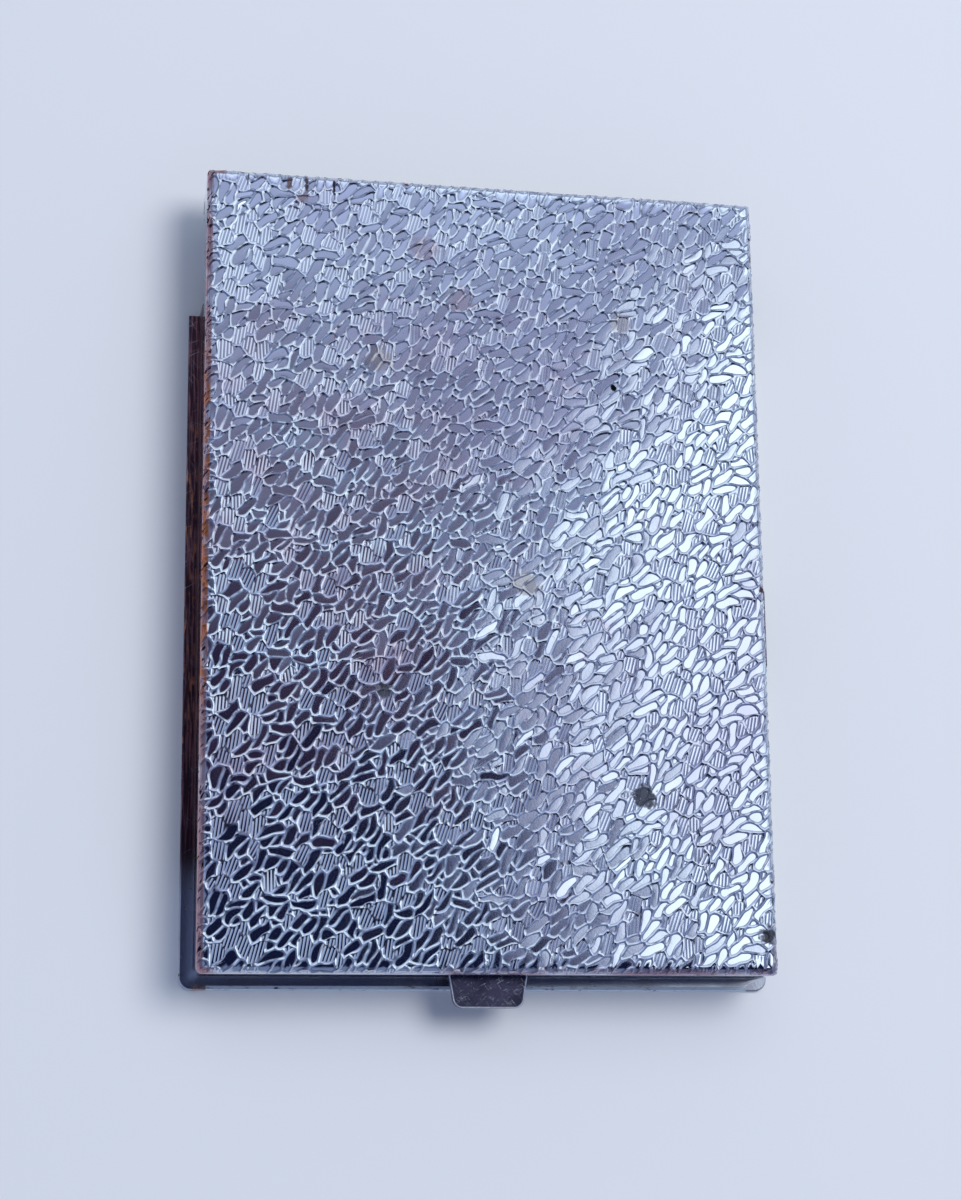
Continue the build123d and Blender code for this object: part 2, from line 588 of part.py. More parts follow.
wrap_left = rail_left - RUN_CLEAR - CARRIAGE_SHEET
wrap_right = rail_right + RUN_CLEAR + CARRIAGE_SHEET
wrap_bottom = rail_bottom - RUN_CLEAR - CARRIAGE_SHEET
wrap_top = rail_top + RUN_CLEAR + CARRIAGE_SHEET
slit_middle = (rail_left + rail_right) / 2
finger_outer = inner_x - FINGER_SIDE_GAP
finger_bottom = foot_top + RIVET_HEAD_HEIGHT + FINGER_GAP
arm_sheet = arm_top - arm_bottom
knob_inner = half_width + KNOB_GAP
with BuildPart() as selector_carriage:
    box_between(
        (wrap_left, chosen_y - CARRIAGE_LENGTH / 2, wrap_bottom),
        (wrap_right, chosen_y + CARRIAGE_LENGTH / 2, wrap_top),
    )
    box_between(
        (rail_left - RUN_CLEAR, chosen_y - CARRIAGE_LENGTH, rail_bottom - RUN_CLEAR),
        (rail_right + RUN_CLEAR, chosen_y + CARRIAGE_LENGTH, rail_top + RUN_CLEAR),
        Mode.SUBTRACT,
    )
    box_between(
        (slit_middle - CARRIAGE_SLIT / 2, chosen_y - CARRIAGE_LENGTH, rail_top),
        (slit_middle + CARRIAGE_SLIT / 2, chosen_y + CARRIAGE_LENGTH, TOTAL_HEIGHT),
        Mode.SUBTRACT,
    )
    box_between(
        (finger_outer - FINGER_SHEET, chosen_y - FINGER_WIDTH / 2, finger_bottom),
        (finger_outer, chosen_y + FINGER_WIDTH / 2, wrap_bottom + RUN_CLEAR),
    )
    box_between(
        (strip_left + AIR, chosen_y - FINGER_WIDTH / 2, finger_bottom),
        (finger_outer, chosen_y + FINGER_WIDTH / 2, finger_bottom + FINGER_THICK),
    )
    box_between(
        (wrap_right - arm_sheet, chosen_y - ARM_WIDTH / 2, arm_bottom),
        (wrap_right, chosen_y + ARM_WIDTH / 2, wrap_bottom + CARRIAGE_SHEET),
    )
    box_between(
        (wrap_right - arm_sheet, chosen_y - ARM_WIDTH / 2, arm_bottom),
        (knob_inner, chosen_y + ARM_WIDTH / 2, arm_top),
    )
save(selector_carriage.part, "selector_carriage")

with BuildPart() as selector_knob:
    with BuildSketch(Plane.YZ.offset(knob_inner)):
        with Locations((chosen_y, (knob_top + knob_bottom) / 2)):
            RectangleRounded(KNOB_LENGTH, KNOB_HEIGHT, KNOB_CORNER)
        with BuildLine():
            Polyline(
                (chosen_y - POINTER_WIDTH / 2, knob_bottom + RUN_CLEAR),
                (chosen_y + POINTER_WIDTH / 2, knob_bottom + RUN_CLEAR),
                (chosen_y, knob_bottom - POINTER_DROP),
                close=True,
            )
        make_face()
    extrude(amount=KNOB_THICK)
    for step in range(KNOB_GROOVES):
        groove_y = chosen_y + (step - (KNOB_GROOVES - 1) / 2) * KNOB_GROOVE_PITCH
        with BuildSketch(Plane.XY.offset(knob_bottom + KNOB_CORNER)):
            with Locations((knob_inner + KNOB_THICK, groove_y)):
                Circle(KNOB_GROOVE_RADIUS)
        extrude(amount=KNOB_HEIGHT - 2 * KNOB_CORNER, mode=Mode.SUBTRACT)
save(selector_knob.part, "selector_knob")

# ---------------------------------------------------------------- release lever
lever_rear = front + LEVER_BACK
window_half = CATCH_WIDTH / 2 + WINDOW_SIDE
tab_tip = front - TAB_REACH
with BuildPart() as release_lever:
    with BuildSketch(Plane.XY.offset(tab_bottom)) as tab_outline:
        with BuildLine():
            Polyline(
                (-tab_half, lever_rear),
                (-tab_half, front),
                (-TAB_TIP_WIDTH / 2, tab_tip),
                (TAB_TIP_WIDTH / 2, tab_tip),
                (tab_half, front),
                (tab_half, lever_rear),
                close=True,
            )
        make_face()
        fillet(tab_outline.vertices().group_by(Axis.Y)[0], TAB_CORNER)
    extrude(amount=TAB_SHEET)
    with BuildSketch(Plane.XY.offset(tab_top)) as rim_outline:
        with BuildLine():
            Polyline(
                (-tab_half, front),
                (-TAB_TIP_WIDTH / 2, tab_tip),
                (TAB_TIP_WIDTH / 2, tab_tip),
                (tab_half, front),
                close=True,
            )
        make_face()
        fillet(rim_outline.vertices().group_by(Axis.Y)[0], TAB_CORNER)
        with BuildLine():
            Polyline(
                (-tab_half + TAB_RIM, front),
                (-TAB_TIP_WIDTH / 2 + TAB_RIM, tab_tip + TAB_RIM),
                (TAB_TIP_WIDTH / 2 - TAB_RIM, tab_tip + TAB_RIM),
                (tab_half - TAB_RIM, front),
                close=True,
            )
        make_face(mode=Mode.SUBTRACT)
    extrude(amount=TAB_RIM_HEIGHT)
    box_between(
        (-window_half, inner_front, tab_bottom - RUN_CLEAR),
        (window_half, lever_rear - LEVER_EAR, tab_top + RUN_CLEAR),
        Mode.SUBTRACT,
    )
    box_between((-tab_half, lever_rear - LEVER_EAR, nose_bottom), (tab_half, lever_rear, tab_top))
    for ear_x in (-tab_half, tab_half - LEVER_EAR):
        with BuildSketch(Plane.YZ.offset(ear_x)):
            with Locations((pivot_y, pivot_z)):
                Circle(PIVOT_EAR_RADIUS)
            with BuildLine():
                Polyline(
                    (pivot_y - PIVOT_EAR_RADIUS, pivot_z),
                    (pivot_y - PIVOT_EAR_RADIUS, tab_top),
                    (lever_rear, tab_top),
                    (lever_rear, pivot_z - PIVOT_EAR_RADIUS),
                    (pivot_y, pivot_z - PIVOT_EAR_RADIUS),
                    close=True,
                )
            make_face()
        extrude(amount=LEVER_EAR)
    cylinder_along_x(-LID_WIDTH, LID_WIDTH, pivot_y, pivot_z, PIVOT_PIN_RADIUS + RUN_CLEAR, Mode.SUBTRACT)
    box_between(
        (-NOSE_WIDTH / 2, front + NOSE_FRONT, nose_bottom),
        (NOSE_WIDTH / 2, lever_rear, nose_bottom + NOSE_HEIGHT),
    )
save(release_lever.part, "release_lever")

bracket_rear = inner_front + LEVER_FOOT
with BuildPart() as lever_bracket:
    box_between((-span_half, inner_front + RUN_CLEAR, BASE_SHEET), (span_half, bracket_rear, foot_top))
    for ear_x in (-span_half, span_half - LEVER_EAR):
        with BuildSketch(Plane.YZ.offset(ear_x)):
            with Locations((pivot_y, pivot_z)):
                Circle(PIVOT_EAR_RADIUS)
            with Locations((pivot_y, (pivot_z + BASE_SHEET) / 2)):
                Rectangle(2 * PIVOT_EAR_RADIUS, pivot_z - BASE_SHEET)
            with Locations((pivot_y, pivot_z)):
                Circle(PIVOT_PIN_RADIUS + FIT_CLEAR, mode=Mode.SUBTRACT)
        extrude(amount=LEVER_EAR)
    with Locations([(x, y, 0) for x, y in lever_rivets]):
        Hole(RIVET_RADIUS + FIT_CLEAR)
save(lever_bracket.part, "lever_bracket")

with BuildPart() as lever_pin:
    cylinder_along_x(-span_half, span_half, pivot_y, pivot_z, PIVOT_PIN_RADIUS)
    for head_x in (-span_half - LEVER_HEAD_THICK, span_half):
        cylinder_along_x(head_x, head_x + LEVER_HEAD_THICK, pivot_y, pivot_z, LEVER_HEAD_RADIUS)
save(lever_pin.part, "lever_pin")

ear_outside = tab_half + AIR
ear_inside = span_half - LEVER_EAR - AIR
with BuildPart() as lever_spacer:
    cylinder_along_x(ear_outside, ear_inside, pivot_y, pivot_z, LEVER_HEAD_RADIUS)
    spacer_bore = PIVOT_PIN_RADIUS + FIT_CLEAR
    cylinder_along_x(ear_outside, ear_inside, pivot_y, pivot_z, spacer_bore, Mode.SUBTRACT)
save(lever_spacer.part, "lever_spacer")

lever_wind = (pivot_z, LEVER_SPRING_COIL, LEVER_SPRING_WIRE)
base_leg = leg_length(*lever_wind, LEVER_SPRING_BASE_LEG_ANGLE, foot_top + RUN_CLEAR)
hook_rise = tab_bottom - RUN_CLEAR - LEVER_SPRING_WIRE - pivot_z
hook_reach = hypot(HOOK_FRONT, hook_rise)
tab_leg = sqrt(hook_reach**2 - LEVER_SPRING_COIL**2)
tab_leg_angle = degrees(atan2(hook_rise, -HOOK_FRONT) + asin(LEVER_SPRING_COIL / hook_reach))
slant = LEVER_SPRING_PITCH / (2 * pi * LEVER_SPRING_COIL)
coil_length = LEVER_SPRING_PITCH * coil_turns(
    LEVER_SPRING_TURNS, LEVER_SPRING_BASE_LEG_ANGLE, tab_leg_angle
)
lever_spring = torsion_spring(
    pivot_y, pivot_z, -ear_outside - LEVER_SPRING_WIRE - tab_leg * slant - coil_length,
    LEVER_SPRING_TURNS, LEVER_SPRING_PITCH, LEVER_SPRING_COIL, LEVER_SPRING_WIRE,
    (LEVER_SPRING_BASE_LEG_ANGLE, base_leg), (tab_leg_angle, tab_leg), HOOK_LENGTH,
)
save(lever_spring, "lever_spring")
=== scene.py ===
"""Looks of a flat pop-up telephone index.

It presses the crackle into the lid, prints the leaves and the letter strip, winds the hinge springs, gives
every node its finish, and sets up the floor, the lights and the camera.
"""
import json
import logging
import math
import random
from dataclasses import dataclass
from enum import Enum

import bmesh
import bpy
from mathutils import Matrix, Vector, noise
from mathutils.geometry import delaunay_2d_cdt


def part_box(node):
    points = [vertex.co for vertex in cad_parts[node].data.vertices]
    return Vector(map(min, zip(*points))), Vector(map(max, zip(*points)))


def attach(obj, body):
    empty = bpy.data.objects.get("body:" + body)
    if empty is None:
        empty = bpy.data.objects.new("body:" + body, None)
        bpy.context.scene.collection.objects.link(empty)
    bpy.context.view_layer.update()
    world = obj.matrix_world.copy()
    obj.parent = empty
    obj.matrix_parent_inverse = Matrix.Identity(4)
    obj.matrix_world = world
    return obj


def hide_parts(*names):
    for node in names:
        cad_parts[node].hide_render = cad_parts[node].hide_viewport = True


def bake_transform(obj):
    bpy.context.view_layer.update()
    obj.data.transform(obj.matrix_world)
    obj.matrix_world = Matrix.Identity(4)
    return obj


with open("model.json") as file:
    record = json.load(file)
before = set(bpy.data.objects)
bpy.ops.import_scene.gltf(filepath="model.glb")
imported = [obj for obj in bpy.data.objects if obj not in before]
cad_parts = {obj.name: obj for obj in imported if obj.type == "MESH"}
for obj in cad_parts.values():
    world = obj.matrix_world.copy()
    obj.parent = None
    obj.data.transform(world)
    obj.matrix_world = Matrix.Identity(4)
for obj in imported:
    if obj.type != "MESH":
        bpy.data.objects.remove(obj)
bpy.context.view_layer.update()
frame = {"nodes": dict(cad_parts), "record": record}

LOG = logging.getLogger("index")
MM = 0.001
MIX_FACTOR, MIX_A, MIX_B, MIX_RESULT = 0, 6, 7, 2     # sockets of a Mix node that mixes colours
MIX_FLOAT_A, MIX_FLOAT_B = 2, 3                       # and of one that mixes plain numbers
WHOLE = (0.0, 1.0)                                    # all values that a noise can have
NEAR = 1e-6                                           # millimetres between places that count as one
IN_LINE = 1e-9                                        # twice a triangle's area at which it counts as a line
RECESS = "recess"                                     # how deep in a crease a point of the embossing lies
CURVE_STEPS = 4                                       # steps of a curve in a letter or round a wire
LETTERS = ("ab", "cd", "ef", "gh", "ij", "kl", "mn", "op", "qr", "st", "uv", "wx", "yz")

Point = tuple[float, float]
Triple = tuple[float, float, float]
Loop = list[Point]
Share = bpy.types.NodeSocket
Material = bpy.types.Material


def linear(code: str) -> tuple[float, float, float, float]:
    """Turns an sRGB hex colour into linear light.

    Args:
        code: a hash and six hex digits.

    Returns:
        Red, green and blue in linear light, and an alpha of 1.
    """
    shares = [int(code[start:start + 2], 16) / 255 for start in (1, 3, 5)]
    red, green, blue = (s / 12.92 if s <= 0.04045 else ((s + 0.055) / 1.055) ** 2.4 for s in shares)
    return red, green, blue, 1.0


def box_of(node: str) -> tuple[Vector, Vector]:
    """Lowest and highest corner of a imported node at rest, in millimetres."""
    low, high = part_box(node)
    return low / MM, high / MM


def joint_of(name: str) -> dict:
    """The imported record's joint of a name."""
    return next(joint for joint in frame["record"]["behaviour"]["joints"] if joint["name"] == name)


def add_node(tree: bpy.types.NodeTree, kind: str, inputs: dict | None = None, **settings) -> bpy.types.Node:
    """Adds a node with its settings, values and links.

    Args:
        tree: the node tree that gets the node.
        kind: Blender's name for the kind of node.
        inputs: for each input socket, by name or place, a value or an output socket to link.
        settings: the node's own properties.

    Returns:
        The new node.
    """
    node = tree.nodes.new(kind)
    for name, value in settings.items():
        setattr(node, name, value)
    for socket, value in (inputs or {}).items():
        if isinstance(value, bpy.types.NodeSocket):
            tree.links.new(value, node.inputs[socket])
        else:
            node.inputs[socket].default_value = value
    return node


def new_object(name: str, data: bpy.types.Mesh, material: Material) -> bpy.types.Object:
    """Puts a new dressed piece in the scene.

    Args:
        name: the piece's name.
        data: its mesh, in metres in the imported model's frame.
        material: its finish.

    Returns:
        The new object.
    """
    piece = bpy.data.objects.new(name, data)
    bpy.context.scene.collection.objects.link(piece)
    data.materials.append(material)
    LOG.info("piece %s has %d faces", name, len(data.polygons))
    return piece


# ---------------------------------------------------------------- finishes
class Surface:
    """A material in the making: the colour and roughness that its nodes give so far.

    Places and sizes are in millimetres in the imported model's frame.
    """

    def __init__(self, name: str, colour: str, roughness: float, metallic: float) -> None:
        """Starts a material.

        Args:
            name: the material's name.
            colour: its first colour.
            roughness: its first roughness.
            metallic: 1 for bare metal, 0 for anything else.
        """
        self.material = bpy.data.materials.new(name)
        self.material.use_nodes = True
        self.tree = self.material.node_tree
        self.shader = self.tree.nodes["Principled BSDF"]
        self.shader.inputs["Metallic"].default_value = metallic
        metres = add_node(self.tree, "ShaderNodeTexCoord").outputs["Object"]
        scaled = add_node(self.tree, "ShaderNodeVectorMath", {0: metres, "Scale": 1 / MM}, operation="SCALE")
        self.place = scaled.outputs[0]
        self.axes = add_node(self.tree, "ShaderNodeSeparateXYZ", {"Vector": self.place}).outputs
        self.colour: Share | tuple = linear(colour)
        self.roughness: Share | float = roughness

    def clouds(
        self, size: float | Triple | Vector, span: Point, detail: float = 3.0, turn: float = 0.0,
    ) -> Share:
        """Strews cloudy patches.

        Args:
            size: the patches' size, or their sizes along X, Y and Z.
            span: the noise values at which a patch begins and at which it is full.
            detail: how many finer layers the noise has.
            turn: the pattern's turn about Z in degrees.

        Returns:
            A share that is 0 outside the patches and 1 within.
        """
        sizes = (size,) * 3 if isinstance(size, float) else size
        inputs = {"Vector": self.place, "Rotation": (0, 0, math.radians(turn)), "Scale": sizes}
        spread = add_node(self.tree, "ShaderNodeMapping", inputs, vector_type="TEXTURE").outputs[0]
        inputs = {"Vector": spread, "Scale": 1.0, "Detail": detail}
        pattern = add_node(self.tree, "ShaderNodeTexNoise", inputs).outputs["Fac"]
        inputs = {"Value": pattern, "From Min": span[0], "From Max": span[1]}
        return add_node(self.tree, "ShaderNodeMapRange", inputs).outputs[0]

    def within(self, axis: str, span: Point, fade: float) -> Share:
        """Marks a stretch along one axis.

        Args:
            axis: X, Y or Z.
            span: where the stretch begins and ends.
            fade: how far past its ends the share falls to 0.

        Returns:
            A share that is 1 within the stretch.
        """
        reach = (span[1] - span[0]) / 2
        inputs = {0: self.axes[axis], 1: span[0] + reach}
        off = add_node(self.tree, "ShaderNodeMath", inputs, operation="SUBTRACT").outputs[0]
        away = add_node(self.tree, "ShaderNodeMath", {0: off}, operation="ABSOLUTE").outputs[0]
        inputs = {"Value": away, "From Min": reach + fade, "From Max": reach}
        return add_node(self.tree, "ShaderNodeMapRange", inputs, interpolation_type="SMOOTHSTEP").outputs[0]

    def product(self, first: Share, *others: Share | float) -> Share:
        """Multiplies shares.

        Args:
            first: the first share.
            others: shares or plain numbers.

        Returns:
            Their product.
        """
        for other in others:
            inputs = {0: first, 1: other}
            first = add_node(self.tree, "ShaderNodeMath", inputs, operation="MULTIPLY").outputs[0]
        return first

    def cover(self, share: Share, colour: str, roughness: float) -> None:
        """Lays a coat over part of the surface.

        Args:
            share: where the coat lies.
            colour: the coat's colour.
            roughness: the coat's roughness.
        """
        tints = {MIX_FACTOR: share, MIX_A: self.colour, MIX_B: linear(colour)}
        self.colour = add_node(self.tree, "ShaderNodeMix", tints, data_type="RGBA").outputs[MIX_RESULT]
        values = {MIX_FACTOR: share, MIX_FLOAT_A: self.roughness, MIX_FLOAT_B: roughness}
        self.roughness = add_node(self.tree, "ShaderNodeMix", values, data_type="FLOAT").outputs[0]

    def finish(self, relief: Share, depth: float) -> Material:
        """Links the coats to the shader and presses a fine relief into them.

        Args:
            relief: the relief's pattern.
            depth: how deep it is.

        Returns:
            The material.
        """
        inputs = {"Height": relief, "Strength": 1.0, "Distance": depth * MM}
        bump = add_node(self.tree, "ShaderNodeBump", inputs)
        self.tree.links.new(self.colour, self.shader.inputs["Base Color"])
        self.tree.links.new(self.roughness, self.shader.inputs["Roughness"])
        self.tree.links.new(bump.outputs["Normal"], self.shader.inputs["Normal"])
        return self.material


@dataclass(frozen=True)
class Blemish:
    """A stain, pit, crack or rust spot on the lid's top, by its place and radius in millimetres.

    Noise moves its rim in and out, and its coat fades in over the rim span, which is in radii from the rim.
    """

    x: float
    y: float
    radius: float
    colour: str
    roughness: float
    strength: float = 1.0
    length: float = 1.0
    raggedness: float = 2.2
    rim_span: Point = (0.1, -0.5)

    def lay(self, surface: Surface, height: float, ragged: Share) -> None:
        """Lays the blemish on a surface.

        Args:
            surface: the material in the making.
            height: how high the marked surface lies.
            ragged: the noise that frays the blemish's rim.
        """
        tree = surface.tree
        inputs = {0: surface.place, 1: (self.x, self.y, height)}
        off = add_node(tree, "ShaderNodeVectorMath", inputs, operation="SUBTRACT").outputs[0]
        inputs = {0: off, 1: (1, 1 / self.length, 1)}
        shrunk = add_node(tree, "ShaderNodeVectorMath", inputs, operation="MULTIPLY").outputs[0]
        away = add_node(tree, "ShaderNodeVectorMath", {0: shrunk}, operation="LENGTH").outputs["Value"]
        inputs = {0: ragged, 1: -self.raggedness * self.radius, 2: away}
        rim = add_node(tree, "ShaderNodeMath", inputs, operation="MULTIPLY_ADD").outputs[0]
        outer, inner = (radii * self.radius for radii in self.rim_span)
        inputs = {"Value": rim, "From Min": outer, "From Max": inner, "To Max": self.strength}
        share = add_node(tree, "ShaderNodeMapRange", inputs, interpolation_type="SMOOTHSTEP").outputs[0]
        surface.cover(share, self.colour, self.roughness)


@dataclass(frozen=True)
class WearAndPaintedLightZone:
    """A stretch of a surface, in millimetres, with patches of a coat of their own: wear and tarnish in most
    zones, painted shade, highlight or warm reflection in some.
    """

    x: Point
    y: Point
    fade: float
    patch: Triple
    start: float
    full: float
    colour: str
    roughness: float

    def lay(self, surface: Surface, *limits: Share) -> None:
        """Lays the patches on a surface.

        Args:
            surface: the material in the making.
            limits: shares outside which nothing is laid.
        """
        patches = surface.clouds(self.patch, (self.start, self.full), detail=4.0)
        across, along = surface.within("X", self.x, self.fade), surface.within("Y", self.y, self.fade)
        surface.cover(surface.product(patches, across, along, *limits), self.colour, self.roughness)


@dataclass(frozen=True)
class Finish:
    """What every finish has: a name, and a note on the real material and how its surface was made."""

    name: str
    note: str

    def build(self) -> Material:
        """Makes the material."""
        raise NotImplementedError


class Grain(Enum):
    """How the fine marks of a worked metal run: their size along X, Y and Z, in mark widths."""

    ROLLED_ALONG_X = (40.0, 1.0, 1.0)
    ROLLED_ALONG_Y = (1.0, 40.0, 1.0)
    TURNED = (1.0, 8.0, 1.0)
    POLISHED = (3.0, 3.0, 3.0)


@dataclass(frozen=True)
class Metal(Finish):
    """A metal with fine marks, slow tarnish, a few scratches, and zones of wear, some of which paint shade,
    highlights or reflections.

    Tarnish and marks are duller than the clean metal, by a factor of its roughness, and scratches glossier.
    """

    colour: str
    tarnish: str
    grain: Grain
    roughness: float
    mark_width: float = 0.12
    mark_depth: float = 0.0004
    mark_span: Point = (0.35, 0.65)
    mark_share: float = 0.25
    mark_dulling: float = 1.4
    tarnish_size: float = 9.0
    tarnish_span: Point = (0.42, 0.68)
    tarnish_share: float = 0.75
    tarnish_dulling: float = 1.7
    scratch: str = "#E8ECF2"
    scratch_length: float = 5.0
    scratch_width: float = 0.07
    scratch_turns: Point = (28.0, -52.0)
    scratch_span: Point = (0.70, 0.73)
    scratch_share: float = 0.6
    scratch_gloss: float = 0.9
    wear_and_painted_light: tuple[WearAndPaintedLightZone, ...] = ()

    def build(self) -> Material:
        """Makes the material.

        Returns:
            The material.
        """
        surface = Surface(self.name, self.colour, self.roughness, metallic=1.0)
        slow = surface.clouds(self.tarnish_size, self.tarnish_span, detail=5.0)
        coat = surface.product(slow, self.tarnish_share)
        surface.cover(coat, self.tarnish, self.roughness * self.tarnish_dulling)
        marks = surface.clouds(self.mark_width * Vector(self.grain.value), self.mark_span)
        coat = surface.product(marks, self.mark_share)
        surface.cover(coat, self.tarnish, self.roughness * self.mark_dulling)
        for zone in self.wear_and_painted_light:
            zone.lay(surface)
        size = (self.scratch_length, self.scratch_width, self.scratch_length)
        for turn in self.scratch_turns:
            lines = surface.clouds(size, self.scratch_span, detail=1.0, turn=turn)
            coat = surface.product(lines, self.scratch_share)
            surface.cover(coat, self.scratch, self.roughness * self.scratch_gloss)
        return surface.finish(marks, self.mark_depth)


@dataclass(frozen=True)
class EmbossedChrome(Finish):
    """Bright chrome with haze, bends with wear and a painted warm reflection, dirt and painted shade at the
    feet of the ridges, stains and rust spots.
    """

    plate: str = "#DBE2F0"
    roughness: float = 0.08
    haze: str = "#C8C6DC"
    haze_size: float = 22.0
    haze_span: Point = (0.45, 0.75)
    haze_dulling: float = 1.6
    bend_colour: str = "#D2D8E6"
    bend_dulling: float = 2.0
    bend_height: float = 0.75
    bend_fade: float = 0.3
    flat_margin: float = 0.8
    flat_fade: float = 0.15
    nick: str = "#2A1E26"
    nick_size: Triple = (0.35, 1.5, 0.8)
    nick_span: Point = (0.62, 0.66)
    nick_turn: float = -40.0
    nick_fade: float = 0.1
    nick_roughness: float = 0.5
    # dirt and painted shade in the ridges' feet, where the recess attribute is high
    crease_dirt_and_shade: str = "#474C66"
    crease_dirt_and_shade_share: float = 0.50
    crease_dirt_and_shade_roughness: float = 0.35
    grain_size: float = 0.30
    grain_depth: float = 0.0012
    fray_size: float = 0.7
    tinted: tuple[WearAndPaintedLightZone, ...] = (
        WearAndPaintedLightZone((-34.0, -10.0), (-24.0, 24.0), 14.0, (9.0, 7.0, 9.0), 0.40, 0.84, "#CAB4C4", 0.12),
        WearAndPaintedLightZone((-20.0, 16.0), (-30.0, 36.0), 10.0, (4.0, 2.5, 4.0), 0.58, 0.90, "#C8B6CA", 0.11),
        WearAndPaintedLightZone((-24.0, 6.0), (-20.0, 30.0), 8.0, (0.5, 0.5, 0.5), 0.66, 0.76, "#BC9494", 0.18),
    )
    bent: tuple[WearAndPaintedLightZone, ...] = (
        WearAndPaintedLightZone((-36.0, -33.0), (-50.0, 50.0), 0.5, (2.0, 7.0, 2.0), 0.30, 0.50, "#B8949A", 0.26),
        WearAndPaintedLightZone((-4.0, 33.0), (-50.0, -47.0), 4.0, (6.0, 2.0, 2.0), 0.36, 0.56, "#9C8698", 0.26),
        # copper on the left bend: wear to the copper under the plate and a painted warm reflection
        WearAndPaintedLightZone((-36.0, -33.0), (-15.0, 20.0), 9.0, (0.9, 1.8, 0.9), 0.44, 0.56, "#C07650", 0.28),
        WearAndPaintedLightZone((33.0, 36.0), (-50.0, 50.0), 0.5, (1.5, 1.5, 1.5), 0.66, 0.70, "#6A4034", 0.40),
        WearAndPaintedLightZone((-36.0, 36.0), (47.0, 50.0), 0.5, (1.5, 1.5, 1.5), 0.66, 0.70, "#7A5040", 0.40),
    )
    blemishes: tuple[Blemish, ...] = (
        Blemish(-13.5, 25.6, 1.6, "#A88A58", 0.35, 0.30),
        Blemish(4.4, -2.2, 1.4, "#8F6A3C", 0.30, 0.34, 0.8, 3.0),
        Blemish(17.2, 32.0, 1.4, "#A98A5A", 0.35, 0.30),
        Blemish(16.1, 23.6, 0.55, "#14161C", 0.6),
        Blemish(18.8, -28.0, 1.5, "#26262C", 0.55, 0.8),
        Blemish(33.8, -44.6, 1.1, "#2B1F22", 0.55, 0.85),
        Blemish(-24.9, 47.9, 0.42, "#6A4440", 0.5, 0.8, 2.6),
        Blemish(-22.7, 48.0, 0.30, "#3E2C30", 0.5, 0.9, 4.5),
        Blemish(-23.2, 46.2, 0.7, "#8A5E56", 0.4, 0.6),
        Blemish(-19.3, 48.2, 0.20, "#24222E", 0.5, 0.95, 6.0),
        Blemish(-30.0, 48.3, 0.16, "#3A3A48", 0.5, 0.8, 6.0),
        Blemish(-13.0, -15.8, 1.0, "#2A2A33", 0.45, 0.8),
        Blemish(34.6, -1.8, 0.5, "#4A2024", 0.5, 0.9),
        Blemish(-3.4, 34.0, 1.6, "#B0787A", 0.3, 0.35),
        Blemish(-7.8, 40.4, 1.8, "#A87878", 0.3, 0.35),
    )

    def build(self) -> Material:
        """Makes the material.

        Returns:
            The material.
        """
        surface = Surface(self.name, self.plate, self.roughness, metallic=1.0)
        haze = surface.clouds(self.haze_size, self.haze_span)
        surface.cover(haze, self.haze, self.roughness * self.haze_dulling)
        for zone in self.tinted:
            zone.lay(surface)
        corner = box_of("lid_shell")[1]
        half_width, half_length = corner.x - self.flat_margin, corner.y - self.flat_margin
        flat = surface.product(
            surface.within("X", (-half_width, half_width), self.flat_fade),
            surface.within("Y", (-half_length, half_length), self.flat_fade),
        )
        inputs = {0: 1.0, 1: flat}
        past_flat = add_node(surface.tree, "ShaderNodeMath", inputs, operation="SUBTRACT").outputs[0]
        bend_span = (corner.z - self.bend_height, corner.z)
        bend = surface.product(past_flat, surface.within("Z", bend_span, self.bend_fade))
        surface.cover(bend, self.bend_colour, self.bend_dulling * self.roughness)
        for zone in self.bent:
            zone.lay(surface, bend)
        nicks = surface.clouds(self.nick_size, self.nick_span, detail=1.0, turn=self.nick_turn)
        left = surface.within("X", (-half_width - self.flat_margin, -half_width), self.nick_fade)
        surface.cover(surface.product(nicks, bend, left), self.nick, self.nick_roughness)
        # a darker, duller coat at the feet of ridges and strokes: dirt and painted shade in the creases
        recess = add_node(surface.tree, "ShaderNodeAttribute", attribute_name=RECESS).outputs["Fac"]
        surface.cover(surface.product(recess, self.crease_dirt_and_shade_share), self.crease_dirt_and_shade, self.crease_dirt_and_shade_roughness)
        ragged = surface.clouds(self.fray_size, WHOLE, detail=4.0)
        for blemish in self.blemishes:
            blemish.lay(surface, corner.z, ragged)
        return surface.finish(surface.clouds(self.grain_size, WHOLE), self.grain_depth)


@dataclass(frozen=True)
class Card(Finish):
    """Card with fibres, slow yellowing and a few brown specks."""

    colour: str
    aged: str
    roughness: float = 0.62
    aging_size: float = 20.0
    aging_span: Point = (0.40, 0.70)
    fibre: Triple = (0.12, 0.9, 0.12)
    fibre_turn: float = 20.0
    fibre_span: Point = (0.3, 0.7)
    fibre_share: float = 0.22
    fibre_dulling: float = 0.08
    fibre_depth: float = 0.004
    speck: str = "#A58658"
    speck_size: float = 1.1
    speck_span: Point = (0.70, 0.76)
    speck_share: float = 0.5

    def build(self) -> Material:
        """Makes the material.

        Returns:
            The material.
        """
        surface = Surface(self.name, self.colour, self.roughness, metallic=0.0)
        surface.cover(surface.clouds(self.aging_size, self.aging_span, detail=5.0), self.aged, self.roughness)
        fibres = surface.clouds(self.fibre, self.fibre_span, turn=self.fibre_turn)
        coat = surface.product(fibres, self.fibre_share)
        surface.cover(coat, self.aged, self.roughness + self.fibre_dulling)
        specks = surface.clouds(self.speck_size, self.speck_span)
        surface.cover(surface.product(specks, self.speck_share), self.speck, self.roughness)
        return surface.finish(fibres, self.fibre_depth)


